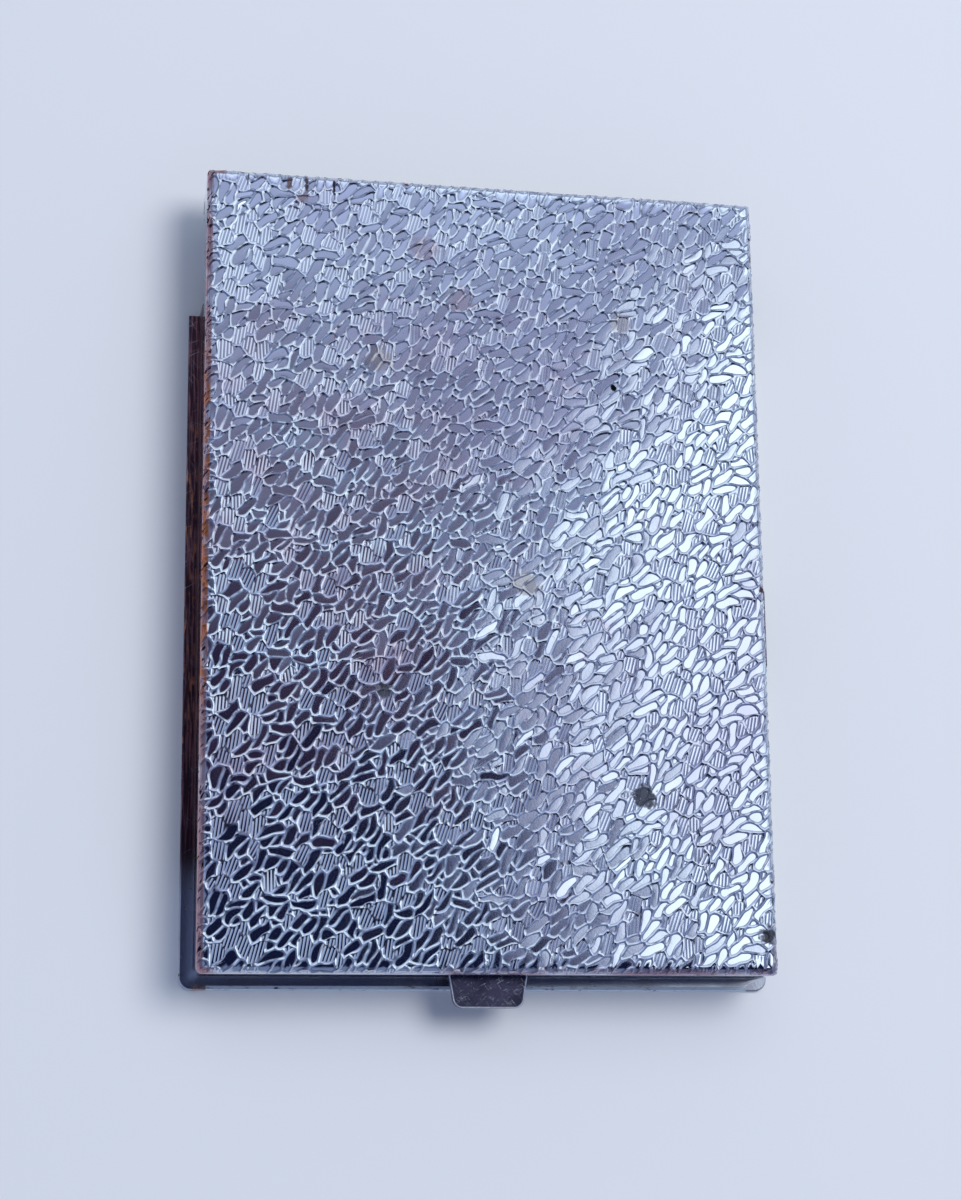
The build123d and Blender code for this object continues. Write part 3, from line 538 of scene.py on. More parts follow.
@dataclass(frozen=True)
class Ink(Finish):
    """Printing ink, thin in places where the card shows through."""

    colour: str
    thin: str
    roughness: float = 0.5
    gap_size: float = 0.25
    gap_span: Point = (0.50, 0.70)
    gap_share: float = 0.6
    gap_dulling: float = 0.1
    gap_depth: float = 0.001

    def build(self) -> Material:
        """Makes the material.

        Returns:
            The material.
        """
        surface = Surface(self.name, self.colour, self.roughness, metallic=0.0)
        gaps = surface.clouds(self.gap_size, self.gap_span)
        surface.cover(surface.product(gaps, self.gap_share), self.thin, self.roughness + self.gap_dulling)
        return surface.finish(gaps, self.gap_depth)


FINISHES: dict[str, Finish] = {
    # The lid's copper at the left bend is partly wear and partly a painted warm reflection.
    "embossed_chrome": EmbossedChrome(
        "embossed_chrome_plate",
        "cold-rolled steel sheet, embossed between rolls, bent, then nickel and chrome plated; handling has "
        "worn the bends towards the copper under the plate, and damp has left stains and rust",
    ),
    # Beside wear and rust, this finish paints shade along the left lip, a warm reflection in the left streaks
    # and a highlight along the front edge of the lip.
    "plain_chrome": Metal(
        "plain_chrome_plate",
        "cold-rolled steel sheet, pressed, polished and chrome plated; rubbed coppery at the left",
        colour="#D2D8E6", tarnish="#8D8798", grain=Grain.ROLLED_ALONG_Y, roughness=0.15, mark_width=0.16,
        wear_and_painted_light=(
            # painted shade under the lid's left edge, over dark tarnish, along the left lip and wall
            WearAndPaintedLightZone((-37.0, -33.5), (-34.0, 34.0), 7.0, (5.0, 12.0, 5.0), 0.15, 0.35, "#48343F", 0.28),
            # pink and copper streaks along the left: rubbed plate and a painted warm reflection
            WearAndPaintedLightZone((-37.0, -33.5), (-30.0, 34.0), 7.0, (0.22, 6.0, 0.5), 0.48, 0.60, "#94686E", 0.28),
            WearAndPaintedLightZone((-37.0, -33.5), (-18.0, 16.0), 7.0, (0.30, 2.2, 0.4), 0.56, 0.66, "#C08468", 0.26),
            WearAndPaintedLightZone((-34.2, -33.0), (-52.0, -50.5), 0.9, (0.7, 0.6, 0.7), 0.34, 0.64, "#B98A70", 0.32),
            # a painted highlight: a pale line along the rounded front edge of the lip
            WearAndPaintedLightZone((-33.0, 33.6), (-50.9, -50.25), 0.12, (0.9, 0.3, 0.9), 0.30, 0.46, "#DDE6EE", 0.55),
            WearAndPaintedLightZone((-37.0, 37.0), (-52.0, 50.0), 1.0, (0.8, 0.8, 0.8), 0.70, 0.74, "#43302E", 0.55),
        ),
    ),
    # the tab's dark purple-navy plate is dulled metal and a painted dark reflection of its surroundings
    "worn_chrome": Metal(
        "worn_chrome_with_painted_dark_reflection", "pressed steel, chrome plated, dulled and finely scratched by thumbs",
        colour="#6C6884", tarnish="#3B374E", grain=Grain.POLISHED, roughness=0.22, mark_depth=0.0008,
        tarnish_size=2.4, scratch_span=(0.66, 0.69), scratch_length=1.2, scratch_width=0.10,
    ),
    "steel_strip": Metal(
        "zinc_steel_strip", "cold-rolled strip steel, blanked, bent and bright zinc plated",
        colour="#B9BEC4", tarnish="#8B8F92", grain=Grain.ROLLED_ALONG_X, roughness=0.30, mark_depth=0.0008,
    ),
    "turned_steel": Metal(
        "turned_steel", "free-cutting steel rod, turned in a lathe, with fine tool marks round it",
        colour="#A9ACB0", tarnish="#77797D", grain=Grain.TURNED, roughness=0.26,
        mark_width=0.07, mark_depth=0.0016, tarnish_size=3.0,
    ),
    "spring_wire": Metal(
        "drawn_spring_wire", "hard-drawn spring wire, coiled cold, with a film of old oil",
        colour="#8F9298", tarnish="#5E564E", grain=Grain.POLISHED, roughness=0.24, mark_width=0.05,
        tarnish_size=1.6,
    ),
    "leaf_card": Card(
        "leaf_card", "ivory index card, calendered smooth and printed, yellowed with age",
        colour="#F1ECDD", aged="#E3DAC0",
    ),
    "liner_card": Card(
        "liner_card", "thin ivory lining card, pasted in and foxed",
        colour="#E3DCC8", aged="#CFC0A0", fibre_depth=0.006,
    ),
    "scale_card": Card(
        "scale_card", "varnished paper strip, printed with the letters and glued on",
        colour="#F0ECDD", aged="#E0D6B8", roughness=0.38, fibre_depth=0.002,
    ),
}
# the rim's bright plate is rubbed metal and a painted highlight, a lit copy of the tab's dark plate
RUBBED_AND_HIGHLIGHT_EDGE = Metal(
    "rubbed_and_highlight_edge", "the tab's turned-up rim, its plate rubbed bright by thumbs",
    colour="#EEF0F6", tarnish="#B7B4C4", grain=Grain.POLISHED, roughness=0.30, tarnish_size=1.2,
)
LETTER_INK = Ink("letter_ink", "dark blue letterpress ink", colour="#1E2436", thin="#39415A")
RULE_INK = Ink("rule_ink", "pale blue ruling ink, drawn by ruling pens", colour="#8FA3BF", thin="#B4C0CE")


# ---------------------------------------------------------------- embossed lid
class CellKind(Enum):
    """Kinds of cell in the crackle pattern."""

    LONG = "long, leaning and flat"
    UPRIGHT = "upright and hatched"
    SHORT = "short, flat or hatched"


@dataclass(frozen=True)
class Sowing:
    """One round of strewing cells: kind, tries, least and most length in mm, and rows of seeds in each."""

    kind: CellKind
    tries: int
    least: float
    most: float
    rows: int = 1


@dataclass
class Embossing:
    """Crackle pattern rolled into the lid: flat cells between raised ridges, some of them hatched.

    All sizes are in millimetres and angles in degrees. The pattern repeats along Y with the roll that pressed
    it. Each cell grows round a row of seeds, and the ridges run halfway between the seeds of two cells.
    """

    repeat: float = 14.6
    spacing: float = 0.68            # between the seeds of two cells, at least
    seed_step: float = 0.36          # between the seeds of one cell
    margin: float = 2.0              # how far past the lid cells are sown
    wobble: float = 0.40
    wobble_length: float = 1.3
    bend_radius: float = 0.9
    bend_reach: float = 1.0
    lean: float = 49.0
    lean_spread: float = 11.0
    sway: float = 7.0
    lying_lean: float = 14.0
    lying_share: float = 0.14
    sowings: tuple[Sowing, ...] = (
        Sowing(CellKind.LONG, 260, 1.8, 2.8),
        Sowing(CellKind.UPRIGHT, 45, 0.9, 1.4, rows=3),
        Sowing(CellKind.UPRIGHT, 240, 0.9, 1.8, rows=2),
        Sowing(CellKind.LONG, 1000, 1.6, 2.6),
        Sowing(CellKind.UPRIGHT, 900, 0.8, 1.4, rows=2),
        Sowing(CellKind.LONG, 12000, 1.1, 2.2),
        Sowing(CellKind.UPRIGHT, 5000, 0.5, 0.9),
        Sowing(CellKind.SHORT, 8000, 0.0, 0.5),
    )
    ridge_half_width: float = 0.195
    ridge_skew: float = 0.24         # how much wider ridges are on their broad side
    broad_side: Point = (0.8, 0.6)
    ridge_spread: float = 0.25
    ridge_height: float = 0.087
    ridge_wave: float = 0.40
    ridge_wave_length: float = 1.6
    foot_band: float = 0.06
    foot_share: float = 0.78         # of a cell's area by the length of its outline
    foot_layer: float = 9.0          # where in the noise the feet's own waves are taken
    plateau_lift: float = 0.035
    plateau_tilt: float = 0.009
    plateau_dome: float = 0.007
    dome_range: Point = (-0.4, 1.0)
    edge_step: float = 0.33
    smoothings: int = 3
    hatch_share: float = 0.40
    hatch_floor: float = 0.50        # a hatched cell's floor, as a share of the ridges' height
    hatch_pitch: float = 0.41
    hatch_flanks: Point = (0.10, 0.215)
    hatch_height: float = 0.065
    hatch_height_range: Point = (0.85, 1.15)
    hatch_reach: Point = (-0.12, 0.26)
    hatch_lean: float = 77.0
    hatch_lean_spread: float = 7.0
    hatch_sink: float = 0.02
    # how far the strokes' feet darken in the lid's finish, as dirt and painted shade
    hatch_recess: float = 0.5
    root_depth: float = 0.15
    strips: int = 4
    draw: int = 11

    def __post_init__(self) -> None:
        """Takes the lid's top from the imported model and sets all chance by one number."""
        corner = box_of("lid_shell")[1]
        self.flat = (corner.x - self.bend_radius, corner.y - self.bend_radius)
        self.half_width, self.half_length = (side + self.bend_reach for side in self.flat)
        self.top = corner.z
        self.random = random.Random(self.draw)
        noise.seed_set(self.draw)              # noise_vector would shift with the clock
        self.strewn_count = 0                  # how many cells one repeat has
        self.hatched: set[int] = set()         # numbers of the hatched ones
        self.chains: dict[tuple, Loop] = {}    # crest lines between two cells
        self.joined: set[Point] = set()        # crest points between two hatched cells

    def wrapped(self, x: float, y: float, height: float) -> Triple:
        """Lays a point of the flat pattern on the lid, round its bends where it reaches past the flat top.

        Args:
            x: place across the pattern.
            y: place along it.
            height: height over the lid's surface.

        Returns:
            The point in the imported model's frame.
        """
        past = [max(abs(value) - flat, 0.0) for value, flat in zip((x, y), self.flat)]
        run = math.hypot(*past)
        if run == 0:
            return x, y, self.top + height
        turn, radius = run / self.bend_radius, self.bend_radius + height
        across, along = (
            math.copysign(min(abs(value), flat) + share / run * radius * math.sin(turn), value)
            for value, flat, share in zip((x, y), self.flat, past)
        )
        return across, along, self.top - self.bend_radius + radius * math.cos(turn)

    def warped(self, x: float, y: float) -> Point:
        """Shifts a point of the pattern a little, so that no outline runs straight."""
        shift = self.wobble * noise.noise_vector(Vector((x, y, 0)) / self.wobble_length)
        return x + shift.x, y + shift.y

    def row_of_seeds(self, sowing: Sowing) -> list[Point]:
        """Draws one cell as rows of seeds that start at a chance place and lean, and sway if it is long.

        Args:
            sowing: the round of strewing that the cell belongs to.

        Returns:
            The places of its seeds.
        """
        reach = self.half_width + self.margin
        x, y = self.random.uniform(-reach, reach), self.random.uniform(0, self.repeat)
        middle = self.lying_lean if self.random.random() < self.lying_share else self.lean
        if sowing.kind is CellKind.UPRIGHT:
            middle = self.hatch_lean
        angle = math.radians(self.random.gauss(middle, self.lean_spread))
        length = self.random.uniform(sowing.least, sowing.most)
        seeds = []
        for _ in range(round(length / self.seed_step) + 1):
            for row in range(sowing.rows):
                aside = (row - (sowing.rows - 1) / 2) * self.seed_step
                seeds.append((x - aside * math.sin(angle), y + aside * math.cos(angle)))
            x, y = x + self.seed_step * math.cos(angle), y + self.seed_step * math.sin(angle)
            if sowing.kind is CellKind.LONG:
                angle += math.radians(self.random.gauss(0, self.sway))
        return seeds

    def sow(self) -> list[list[Point]]:
        """Strews the cells of one repeat, whose seeds keep their distance from other cells'.

        Returns:
            For each cell its seeds, from Y = 0 to the length of the repeat.
        """
        near: dict[tuple[int, int], list[Point]] = {}
        columns = math.floor(self.repeat / self.spacing)

        def square(x: float, y: float) -> tuple[int, int]:
            """The square of the search grid that holds a point."""
            along = math.floor((y % self.repeat) / self.repeat * columns)
            return math.floor(x / self.spacing), along % columns

        def is_free(x: float, y: float) -> bool:
            """Finds whether no seed is too near to a point.

            Args:
                x: the point's place across the pattern.
                y: its place along it.

            Returns:
                True if a seed may lie there.
            """
            i, j = square(x, y)
            for di in (-1, 0, 1):
                for dj in (-1, 0, 1):
                    for other_x, other_y in near.get((i + di, (j + dj) % columns), ()):
                        dy = (y - other_y + self.repeat / 2) % self.repeat - self.repeat / 2
                        if (x - other_x) ** 2 + dy ** 2 < self.spacing ** 2:
                            return False
            return True

        cells = []
        for sowing in self.sowings:
            for _ in range(sowing.tries):
                row = self.row_of_seeds(sowing)
                if all(is_free(*seed) for seed in row):
                    is_upright = sowing.kind is CellKind.UPRIGHT
                    is_short = sowing.kind is CellKind.SHORT
                    if is_upright or (is_short and self.random.random() < self.hatch_share):
                        self.hatched.add(len(cells))
                    cells.append(row)
                    for x, y in row:
                        near.setdefault(square(x, y), []).append((x, y))
        self.strewn_count = len(cells)
        return cells

    def is_hatched(self, number: int) -> bool:
        """Whether the cell of a number is hatched, in any repeat."""
        return number % self.strewn_count in self.hatched

    def outlines(self) -> list[tuple[Loop, bool]]:
        """Finds each cell's outline, as the line halfway to its neighbours.

        Returns:
            For each cell a loop, whose points are shared exactly with its neighbours' loops, and whether it
            is hatched.
        """
        seeds, owner = [], []
        repeats = math.ceil((self.half_length + self.margin) / self.repeat)
        strewn = self.sow()
        for turn in range(-repeats, repeats):
            for number, row in enumerate(strewn):
                seeds += [Vector((x, y + turn * self.repeat)) for x, y in row]
                owner += [(turn + repeats) * len(strewn) + number] * len(row)
        points, _, triangles, origins, _, _ = delaunay_2d_cdt(seeds, [], [], 0, NEAR)
        owner = [owner[origin[0]] for origin in origins]
        middles = [circle_middle(*(points[i] for i in triangle)) for triangle in triangles]
        beside: dict[tuple[int, int], list[int]] = {}
        for number, triangle in enumerate(triangles):
            for a, b in zip(triangle, triangle[1:] + triangle[:1]):
                beside.setdefault((min(a, b), max(a, b)), []).append(number)
        borders: dict[int, dict[int, list[tuple[int, int]]]] = {}
        for (a, b), pair in beside.items():
            if owner[a] != owner[b] and len(pair) == 2:
                for mine, other in ((owner[a], owner[b]), (owner[b], owner[a])):
                    for start, end in (pair, pair[::-1]):
                        borders.setdefault(mine, {}).setdefault(start, []).append((end, other))
        loops = []
        for mine, steps in borders.items():
            if all(len(step) == 2 for step in steps.values()):
                loop = self.walk(mine, steps, middles)
                if loop:
                    loops.append((loop, self.is_hatched(mine)))
        return loops

    def walk(self, mine: int, steps: dict[int, list[tuple[int, int]]], middles: list[Point]) -> Loop:
        """Follows one cell's border, and resamples each stretch that it shares with one neighbour.

        Args:
            mine: the cell's number.
            steps: for each corner, the next corners and the cells across.
            middles: the corners' places.

        Returns:
            The outline, or an empty list if the cell has fewer than two neighbours.
        """
        joints = [corner for corner, step in steps.items() if step[0][1] != step[1][1]]
        if len(joints) < 2:
            return []
        loop: Loop = []
        start = min(joints)
        corner, came_from = start, None
        while True:
            (end, other), (end_b, other_b) = steps[corner]
            if end == came_from:
                end, other = end_b, other_b
            stretch = [corner, end]
            while stretch[-1] not in joints:
                options = steps[stretch[-1]]
                stretch.append(options[0][0] if options[0][0] != stretch[-2] else options[1][0])
            came_from, corner = stretch[-2], stretch[-1]
            forward = stretch[0] < stretch[-1]
            key = (*sorted((mine, other)), *sorted((stretch[0], stretch[-1])))
            if key not in self.chains:
                line = [middles[number] for number in (stretch if forward else stretch[::-1])]
                line = [self.warped(*point) for point in resampled(line, self.edge_step, self.smoothings)]
                self.chains[key] = line
                if self.is_hatched(mine) and self.is_hatched(other):
                    self.joined.update(line[1:-1])
            chain = self.chains[key] if forward else self.chains[key][::-1]
            loop.extend(chain[:-1])
            if corner == start:
                return loop

    def build(self, material: Material) -> None:
        """Makes the embossed sheet, in strips that meet along crests, and its hatching.

        Args:
            material: the lid's finish.
        """
        sheets = [Sheet(self) for _ in range(self.strips)]
        strokes = Strokes(self)
        for outline, fine in self.outlines():
            clipped = clip(outline, self.half_width, self.half_length)
            if clipped:
                middle = sum(y for _, y in clipped) / len(clipped)
                strip = math.floor((middle + self.half_length) / (2 * self.half_length) * self.strips)
                sheets[strip].add_cell(clipped, self.hatch_floor * self.ridge_height if fine else 0.0)
                if fine:
                    strokes.fill(clipped)
        meshes = [sheet.mesh(f"lid_embossing_{number}") for number, sheet in enumerate(sheets, start=1)]
        for mesh in [*meshes, strokes.mesh("lid_hatching")]:
            piece = new_object(mesh.name, mesh, material)
            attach(piece, "lid")


def circle_middle(a: Vector, b: Vector, c: Vector) -> Point:
    """Middle of the circle through three points.

    Args:
        a: the first point.
        b: the second point.
        c: the third point.

    Returns:
        The middle, or the points' mean if they lie in line.
    """
    bx, by, cx, cy = b.x - a.x, b.y - a.y, c.x - a.x, c.y - a.y
    twice = 2 * (bx * cy - by * cx)
    if abs(twice) < IN_LINE:
        return (a.x + b.x + c.x) / 3, (a.y + b.y + c.y) / 3
    b_square, c_square = bx * bx + by * by, cx * cx + cy * cy
    return a.x + (cy * b_square - by * c_square) / twice, a.y + (bx * c_square - cx * b_square) / twice


def eased(line: Loop) -> Loop:
    """Draws each inner point of a line halfway towards the middle of its two neighbours."""
    triples = zip(line, line[1:], line[2:])
    return [((a[0] + 2 * b[0] + c[0]) / 4, (a[1] + 2 * b[1] + c[1]) / 4) for a, b, c in triples]


def resampled(line: Loop, step: float, smoothings: int) -> Loop:
    """Smooths a line and spreads its points evenly, with its ends kept.

    Args:
        line: the line's points.
        step: the wanted distance between points.
        smoothings: how often it is smoothed.

    Returns:
        The new points.
    """
    for _ in range(smoothings):
        line = [line[0], *eased(line), line[-1]]
    lengths = [math.dist(a, b) for a, b in zip(line, line[1:])]
    whole = sum(lengths)
    count = max(1, round(whole / step))
    result = [line[0]]
    piece, done = 0, 0.0
    for k in range(1, count):
        wanted = whole * k / count
        while done + lengths[piece] < wanted:
            done += lengths[piece]
            piece += 1
        share = (wanted - done) / max(lengths[piece], NEAR ** 2)
        a, b = line[piece], line[piece + 1]
        result.append((a[0] + (b[0] - a[0]) * share, a[1] + (b[1] - a[1]) * share))
    return result + [line[-1]]


def clip(loop: Loop, half_width: float, half_length: float) -> Loop:
    """Cuts a loop off at the four edges of the embossed field.

    Args:
        loop: the outline to cut.
        half_width: the field's reach along X.
        half_length: the field's reach along Y.

    Returns:
        What is left of the outline, maybe nothing.
    """
    edges = [(axis, limit, sign) for axis, limit in enumerate((half_width, half_length)) for sign in (1, -1)]
    for axis, limit, sign in edges:
        kept: Loop = []
        for a, b in zip(loop, loop[1:] + loop[:1]):
            a_in, b_in = a[axis] * sign <= limit, b[axis] * sign <= limit
            if a_in:
                kept.append(a)
            if a_in != b_in:
                first, last = min(a, b), max(a, b)
                share = (limit * sign - first[axis]) / (last[axis] - first[axis])
                cut = [first[k] + (last[k] - first[k]) * share for k in (0, 1)]
                cut[axis] = limit * sign
                kept.append((cut[0], cut[1]))
        loop = [a for a, b in zip(kept, kept[1:] + kept[:1]) if a != b]
        if len(loop) < 3:
            return []
    return loop


def area_of(loop: Loop) -> float:
    """Signed area of a loop, above zero if it runs anticlockwise."""
    return sum(a[0] * b[1] - b[0] * a[1] for a, b in zip(loop, loop[1:] + loop[:1])) / 2


class Relief:
    """Points of the flat pattern in millimetres, and faces, that become one mesh on the lid."""

    def __init__(self, sizes: Embossing) -> None:
        """Starts an empty relief.

        Args:
            sizes: the pattern's sizes.
        """
        self.sizes = sizes
        self.points: list[Triple] = []
        self.recesses: list[float] = []
        self.faces: list[list[int]] = []

    def point(self, x: float, y: float, height: float, recess: float = 0.0) -> int:
        """Adds a point and gives its number.

        Args:
            x: place across the pattern.
            y: place along it.
            height: height over the lid's surface.
            recess: 1 in a crease, which the finish darkens with dirt and painted shade, 0 outside it.

        Returns:
            The point's number.
        """
        self.points.append((x, y, height))
        self.recesses.append(recess)
        return len(self.points) - 1

    def mesh(self, name: str) -> bpy.types.Mesh:
        """Makes the mesh in metres.

        Args:
            name: the mesh's name.

        Returns:
            The mesh.
        """
        mesh = bpy.data.meshes.new(name)
        mesh.from_pydata([Vector(self.sizes.wrapped(*point)) * MM for point in self.points], [], self.faces)
        mesh.attributes.new(RECESS, "FLOAT", "POINT").data.foreach_set("value", self.recesses)
        mesh.validate()
        return mesh


class Sheet(Relief):
    """A strip of the embossed sheet as one closed mesh: ridge crests, their feet and flat cells."""

    def __init__(self, sizes: Embossing) -> None:
        """Starts an empty strip.

        Args:
            sizes: the pattern's sizes.
        """
        super().__init__(sizes)
        self.crests: dict[Point, int] = {}
        self.feet: set[int] = set()

    def is_on_border(self, point: Point) -> bool:
        """Whether a point lies on the edge of the embossed field."""
        edges = zip(point, (self.sizes.half_width, self.sizes.half_length))
        return any(abs(abs(value) - half) < NEAR for value, half in edges)

    def crest(self, point: Point) -> int:
        """Adds the crest vertex at a point, which neighbouring cells share, unless it is there.

        Args:
            point: its place on the flat pattern.

        Returns:
            The vertex's number.
        """
        if point not in self.crests:
            sizes = self.sizes
            wave = noise.noise(Vector((*point, 0)) / sizes.ridge_wave_length)
            share = sizes.hatch_floor if point in sizes.joined else 1 + sizes.ridge_wave * wave
            height = sizes.plateau_lift + sizes.ridge_height * share
            self.crests[point] = self.point(*point, 0.0 if self.is_on_border(point) else height)
        return self.crests[point]

    def foot(self, outline: Loop) -> Loop:
        """Draws the line where the ridge round a cell meets the cell's flat.

        Args:
            outline: the line along the crest, anticlockwise.

        Returns:
            One point for each point of the crest, at an uneven distance inside it.
        """
        sizes = self.sizes
        around = sum(math.dist(a, b) for a, b in zip(outline, outline[1:] + outline[:1]))
        most = sizes.foot_share * area_of(outline) / around
        foot: Loop = []
        for (x, y), before, after in zip(outline, outline[-1:] + outline[:-1], outline[1:] + outline[:1]):
            run = math.dist(before, after) or 1.0
            wave = noise.noise(Vector((x, y, sizes.foot_layer)) / sizes.ridge_wave_length)
            inward = (before[1] - after[1]) / run, (after[0] - before[0]) / run
            skew = sizes.ridge_skew * (inward[0] * sizes.broad_side[0] + inward[1] * sizes.broad_side[1])
            width = min(sizes.ridge_half_width * (1 + 2 * sizes.ridge_spread * wave), most) * (1 + skew)
            foot.append((x + inward[0] * width, y + inward[1] * width))
        for _ in range(sizes.smoothings):
            foot = eased([foot[-1], *foot, foot[0]])
        return foot

    def add_cell(self, outline: Loop, lift: float) -> None:
        """Adds one cell with the ridge's inner flank.

        Args:
            outline: the line along the crest of the ridge round the cell.
            lift: how far the cell's floor lies above the flat cells.
        """
        sizes = self.sizes
        if area_of(outline) < 0:
            outline = outline[::-1]
        foot = self.foot(outline)
        count = len(foot)
        middle = (sum(p[0] for p in foot) / count, sum(p[1] for p in foot) / count)
        tilt = (sizes.random.gauss(0, sizes.plateau_tilt), sizes.random.gauss(0, sizes.plateau_tilt))
        base = sizes.plateau_lift + lift

        def level(x: float, y: float) -> float:
            """Height of the cell's flat at a point."""
            return base + tilt[0] * (x - middle[0]) + tilt[1] * (y - middle[1])

        crest_ring = [self.crest(point) for point in outline]
        foot_ring, flat_ring = [], []
        for x, y in foot:
            share = sizes.foot_band / max(math.dist((x, y), middle), 2 * sizes.foot_band)
            inner = (x + share * (middle[0] - x), y + share * (middle[1] - y))
            # the foot ring's recess of 1 paints it darker in the finish: dirt and painted shade in the crease
            foot_ring.append(self.point(x, y, level(x, y), recess=1.0))
            flat_ring.append(self.point(*inner, level(*inner)))
        self.feet.update(foot_ring)
        centre = self.point(*middle, base + sizes.random.uniform(*sizes.dome_range) * sizes.plateau_dome)
        for k in range(count):
            n = (k + 1) % count
            self.faces.append([crest_ring[k], crest_ring[n], foot_ring[n], foot_ring[k]])
            self.faces.append([foot_ring[k], foot_ring[n], flat_ring[n], flat_ring[k]])
            self.faces.append([flat_ring[k], flat_ring[n], centre])

    def close(self) -> None:
        """Runs a wall down into the lid round the strip and closes it below."""
        steps = {(a, b) for face in self.faces for a, b in zip(face, face[1:] + face[:1])}
        following: dict[int, list[int]] = {}
        for a, b in sorted(steps):
            if (b, a) not in steps:
                following.setdefault(a, []).append(b)
        below = {k: self.point(*self.points[k][:2], -self.sizes.root_depth) for k in following}
        while following:
            start = min(following)
            ring = [start]
            while True:
                onward = following[ring[-1]].pop()
                if not following[ring[-1]]:
                    del following[ring[-1]]
                self.faces.append([onward, ring[-1], below[ring[-1]], below[onward]])
                if onward == start:
                    break
                ring.append(onward)
            self.faces.append([below[k] for k in ring])

    def mesh(self, name: str) -> bpy.types.Mesh:
        """Makes the mesh in metres, with crisp lines along each ridge's crest and foot.

        Args:
            name: the mesh's name.

        Returns:
            The mesh.
        """
        self.close()
        mesh = super().mesh(name)
        mesh.shade_smooth()
        ends = [0] * (2 * len(mesh.edges))
        mesh.edges.foreach_get("vertices", ends)
        lines = (set(self.crests.values()), self.feet)
        crisp = [any(a in line and b in line for line in lines) for a, b in zip(ends[::2], ends[1::2])]
        mesh.attributes.new("sharp_edge", "BOOLEAN", "EDGE").data.foreach_set("value", crisp)
        return mesh


class Strokes(Relief):
    """Bundles of fine upright strokes pressed into some of the cells, each a low closed ridge."""

    def fill(self, outline: Loop) -> None:
        """Fills one cell with strokes.

        Args:
            outline: the line along the crest of the ridge round the cell.
        """
        sizes = self.sizes
        lean = math.radians(sizes.random.gauss(sizes.hatch_lean, sizes.hatch_lean_spread))
        along, across = (math.cos(lean), math.sin(lean)), (math.sin(lean), -math.cos(lean))
        turned = [(x * across[0] + y * across[1], x * along[0] + y * along[1]) for x, y in outline]
        low, high = min(p[0] for p in turned), max(p[0] for p in turned)
        count = max(1, int((high - low) / sizes.hatch_pitch))
        start = (low + high - (count - 1) * sizes.hatch_pitch) / 2
        for k in range(count):
            side = start + k * sizes.hatch_pitch
            cuts = sorted(
                a[1] + (b[1] - a[1]) * (side - a[0]) / (b[0] - a[0])
                for a, b in zip(turned, turned[1:] + turned[:1]) if (a[0] - side) * (b[0] - side) < 0
            )
            if len(cuts) >= 2 and cuts[-1] - cuts[0] > sizes.hatch_pitch:
                reaches = (sizes.random.uniform(*sizes.hatch_reach), sizes.random.uniform(*sizes.hatch_reach))
                self.stroke(side, cuts[0] - reaches[0], cuts[-1] + reaches[1], along, across)

    def stroke(self, side: float, start: float, end: float, along: Point, across: Point) -> None:
        """Adds one stroke: a ridge with a tapering tip at each end.

        Args:
            side: its place across the bundle.
            start: where it begins along the strokes' direction.
            end: where it ends.
            along: the strokes' direction.
            across: the direction across them.
        """
        sizes = self.sizes
        steep, broad = sizes.hatch_flanks
        taper = min(steep + broad, (end - start) / 3)
        base = sizes.plateau_lift + sizes.hatch_floor * sizes.ridge_height - sizes.hatch_sink
        height = sizes.hatch_sink + sizes.hatch_height * sizes.random.uniform(*sizes.hatch_height_range)
        near, far = start + taper, end - taper
        profile = (
            (0.0, start, 0.0), (-steep, near, 0.0), (0.0, near, height), (broad, near, 0.0),
            (-steep, far, 0.0), (0.0, far, height), (broad, far, 0.0), (0.0, end, 0.0),
        )
        corners = []
        for offset, run, lift in profile:
            x, y = ((side + offset) * across[axis] + run * along[axis] for axis in (0, 1))
            corners.append(self.point(x, y, base + lift, recess=0.0 if lift else sizes.hatch_recess))
        tip, left, top, right, left_end, top_end, right_end, tip_end = corners
        self.faces += [
            [tip, top, left], [tip, right, top],
            [left, top, top_end, left_end], [top, right, right_end, top_end],
            [left_end, top_end, tip_end], [top_end, right_end, tip_end],
            [tip, left, left_end, tip_end, right_end, right],
        ]


# ---------------------------------------------------------------- thumb tab and springs
def as_mesh(data: bpy.types.Curve, name: str) -> bpy.types.Mesh:
    """Turns a curve or a text into a mesh.

    Args:
        data: the curve or text, which is used up.
        name: the mesh's name.

    Returns:
        The mesh.
    """
    holder = bpy.data.objects.new(name, data)
    bpy.context.scene.collection.objects.link(holder)
    bpy.context.view_layer.update()
    mesh = bpy.data.meshes.new_from_object(holder.evaluated_get(bpy.context.evaluated_depsgraph_get()))
    bpy.data.objects.remove(holder)
    bpy.data.curves.remove(data)
    mesh.name = name
    return mesh


def wire(name: str, route: list[Vector], radius: float, material: Material) -> bpy.types.Object:
    """Makes a round wire with closed ends.

    Args:
        name: the piece's name.
        route: points along its middle in millimetres.
        radius: its radius in millimetres.
        material: its finish.

    Returns:
        The new piece.
    """
    curve = bpy.data.curves.new(name, "CURVE")
    curve.dimensions = "3D"
    curve.bevel_depth = radius * MM
    curve.bevel_resolution = CURVE_STEPS
    curve.use_fill_caps = True
    spline = curve.splines.new("POLY")
    spline.points.add(len(route) - 1)
    for point, place in zip(spline.points, route):
        point.co = (*(place * MM), 1.0)
    mesh = as_mesh(curve, name)
    mesh.shade_smooth()
    return new_object(name, mesh, material)


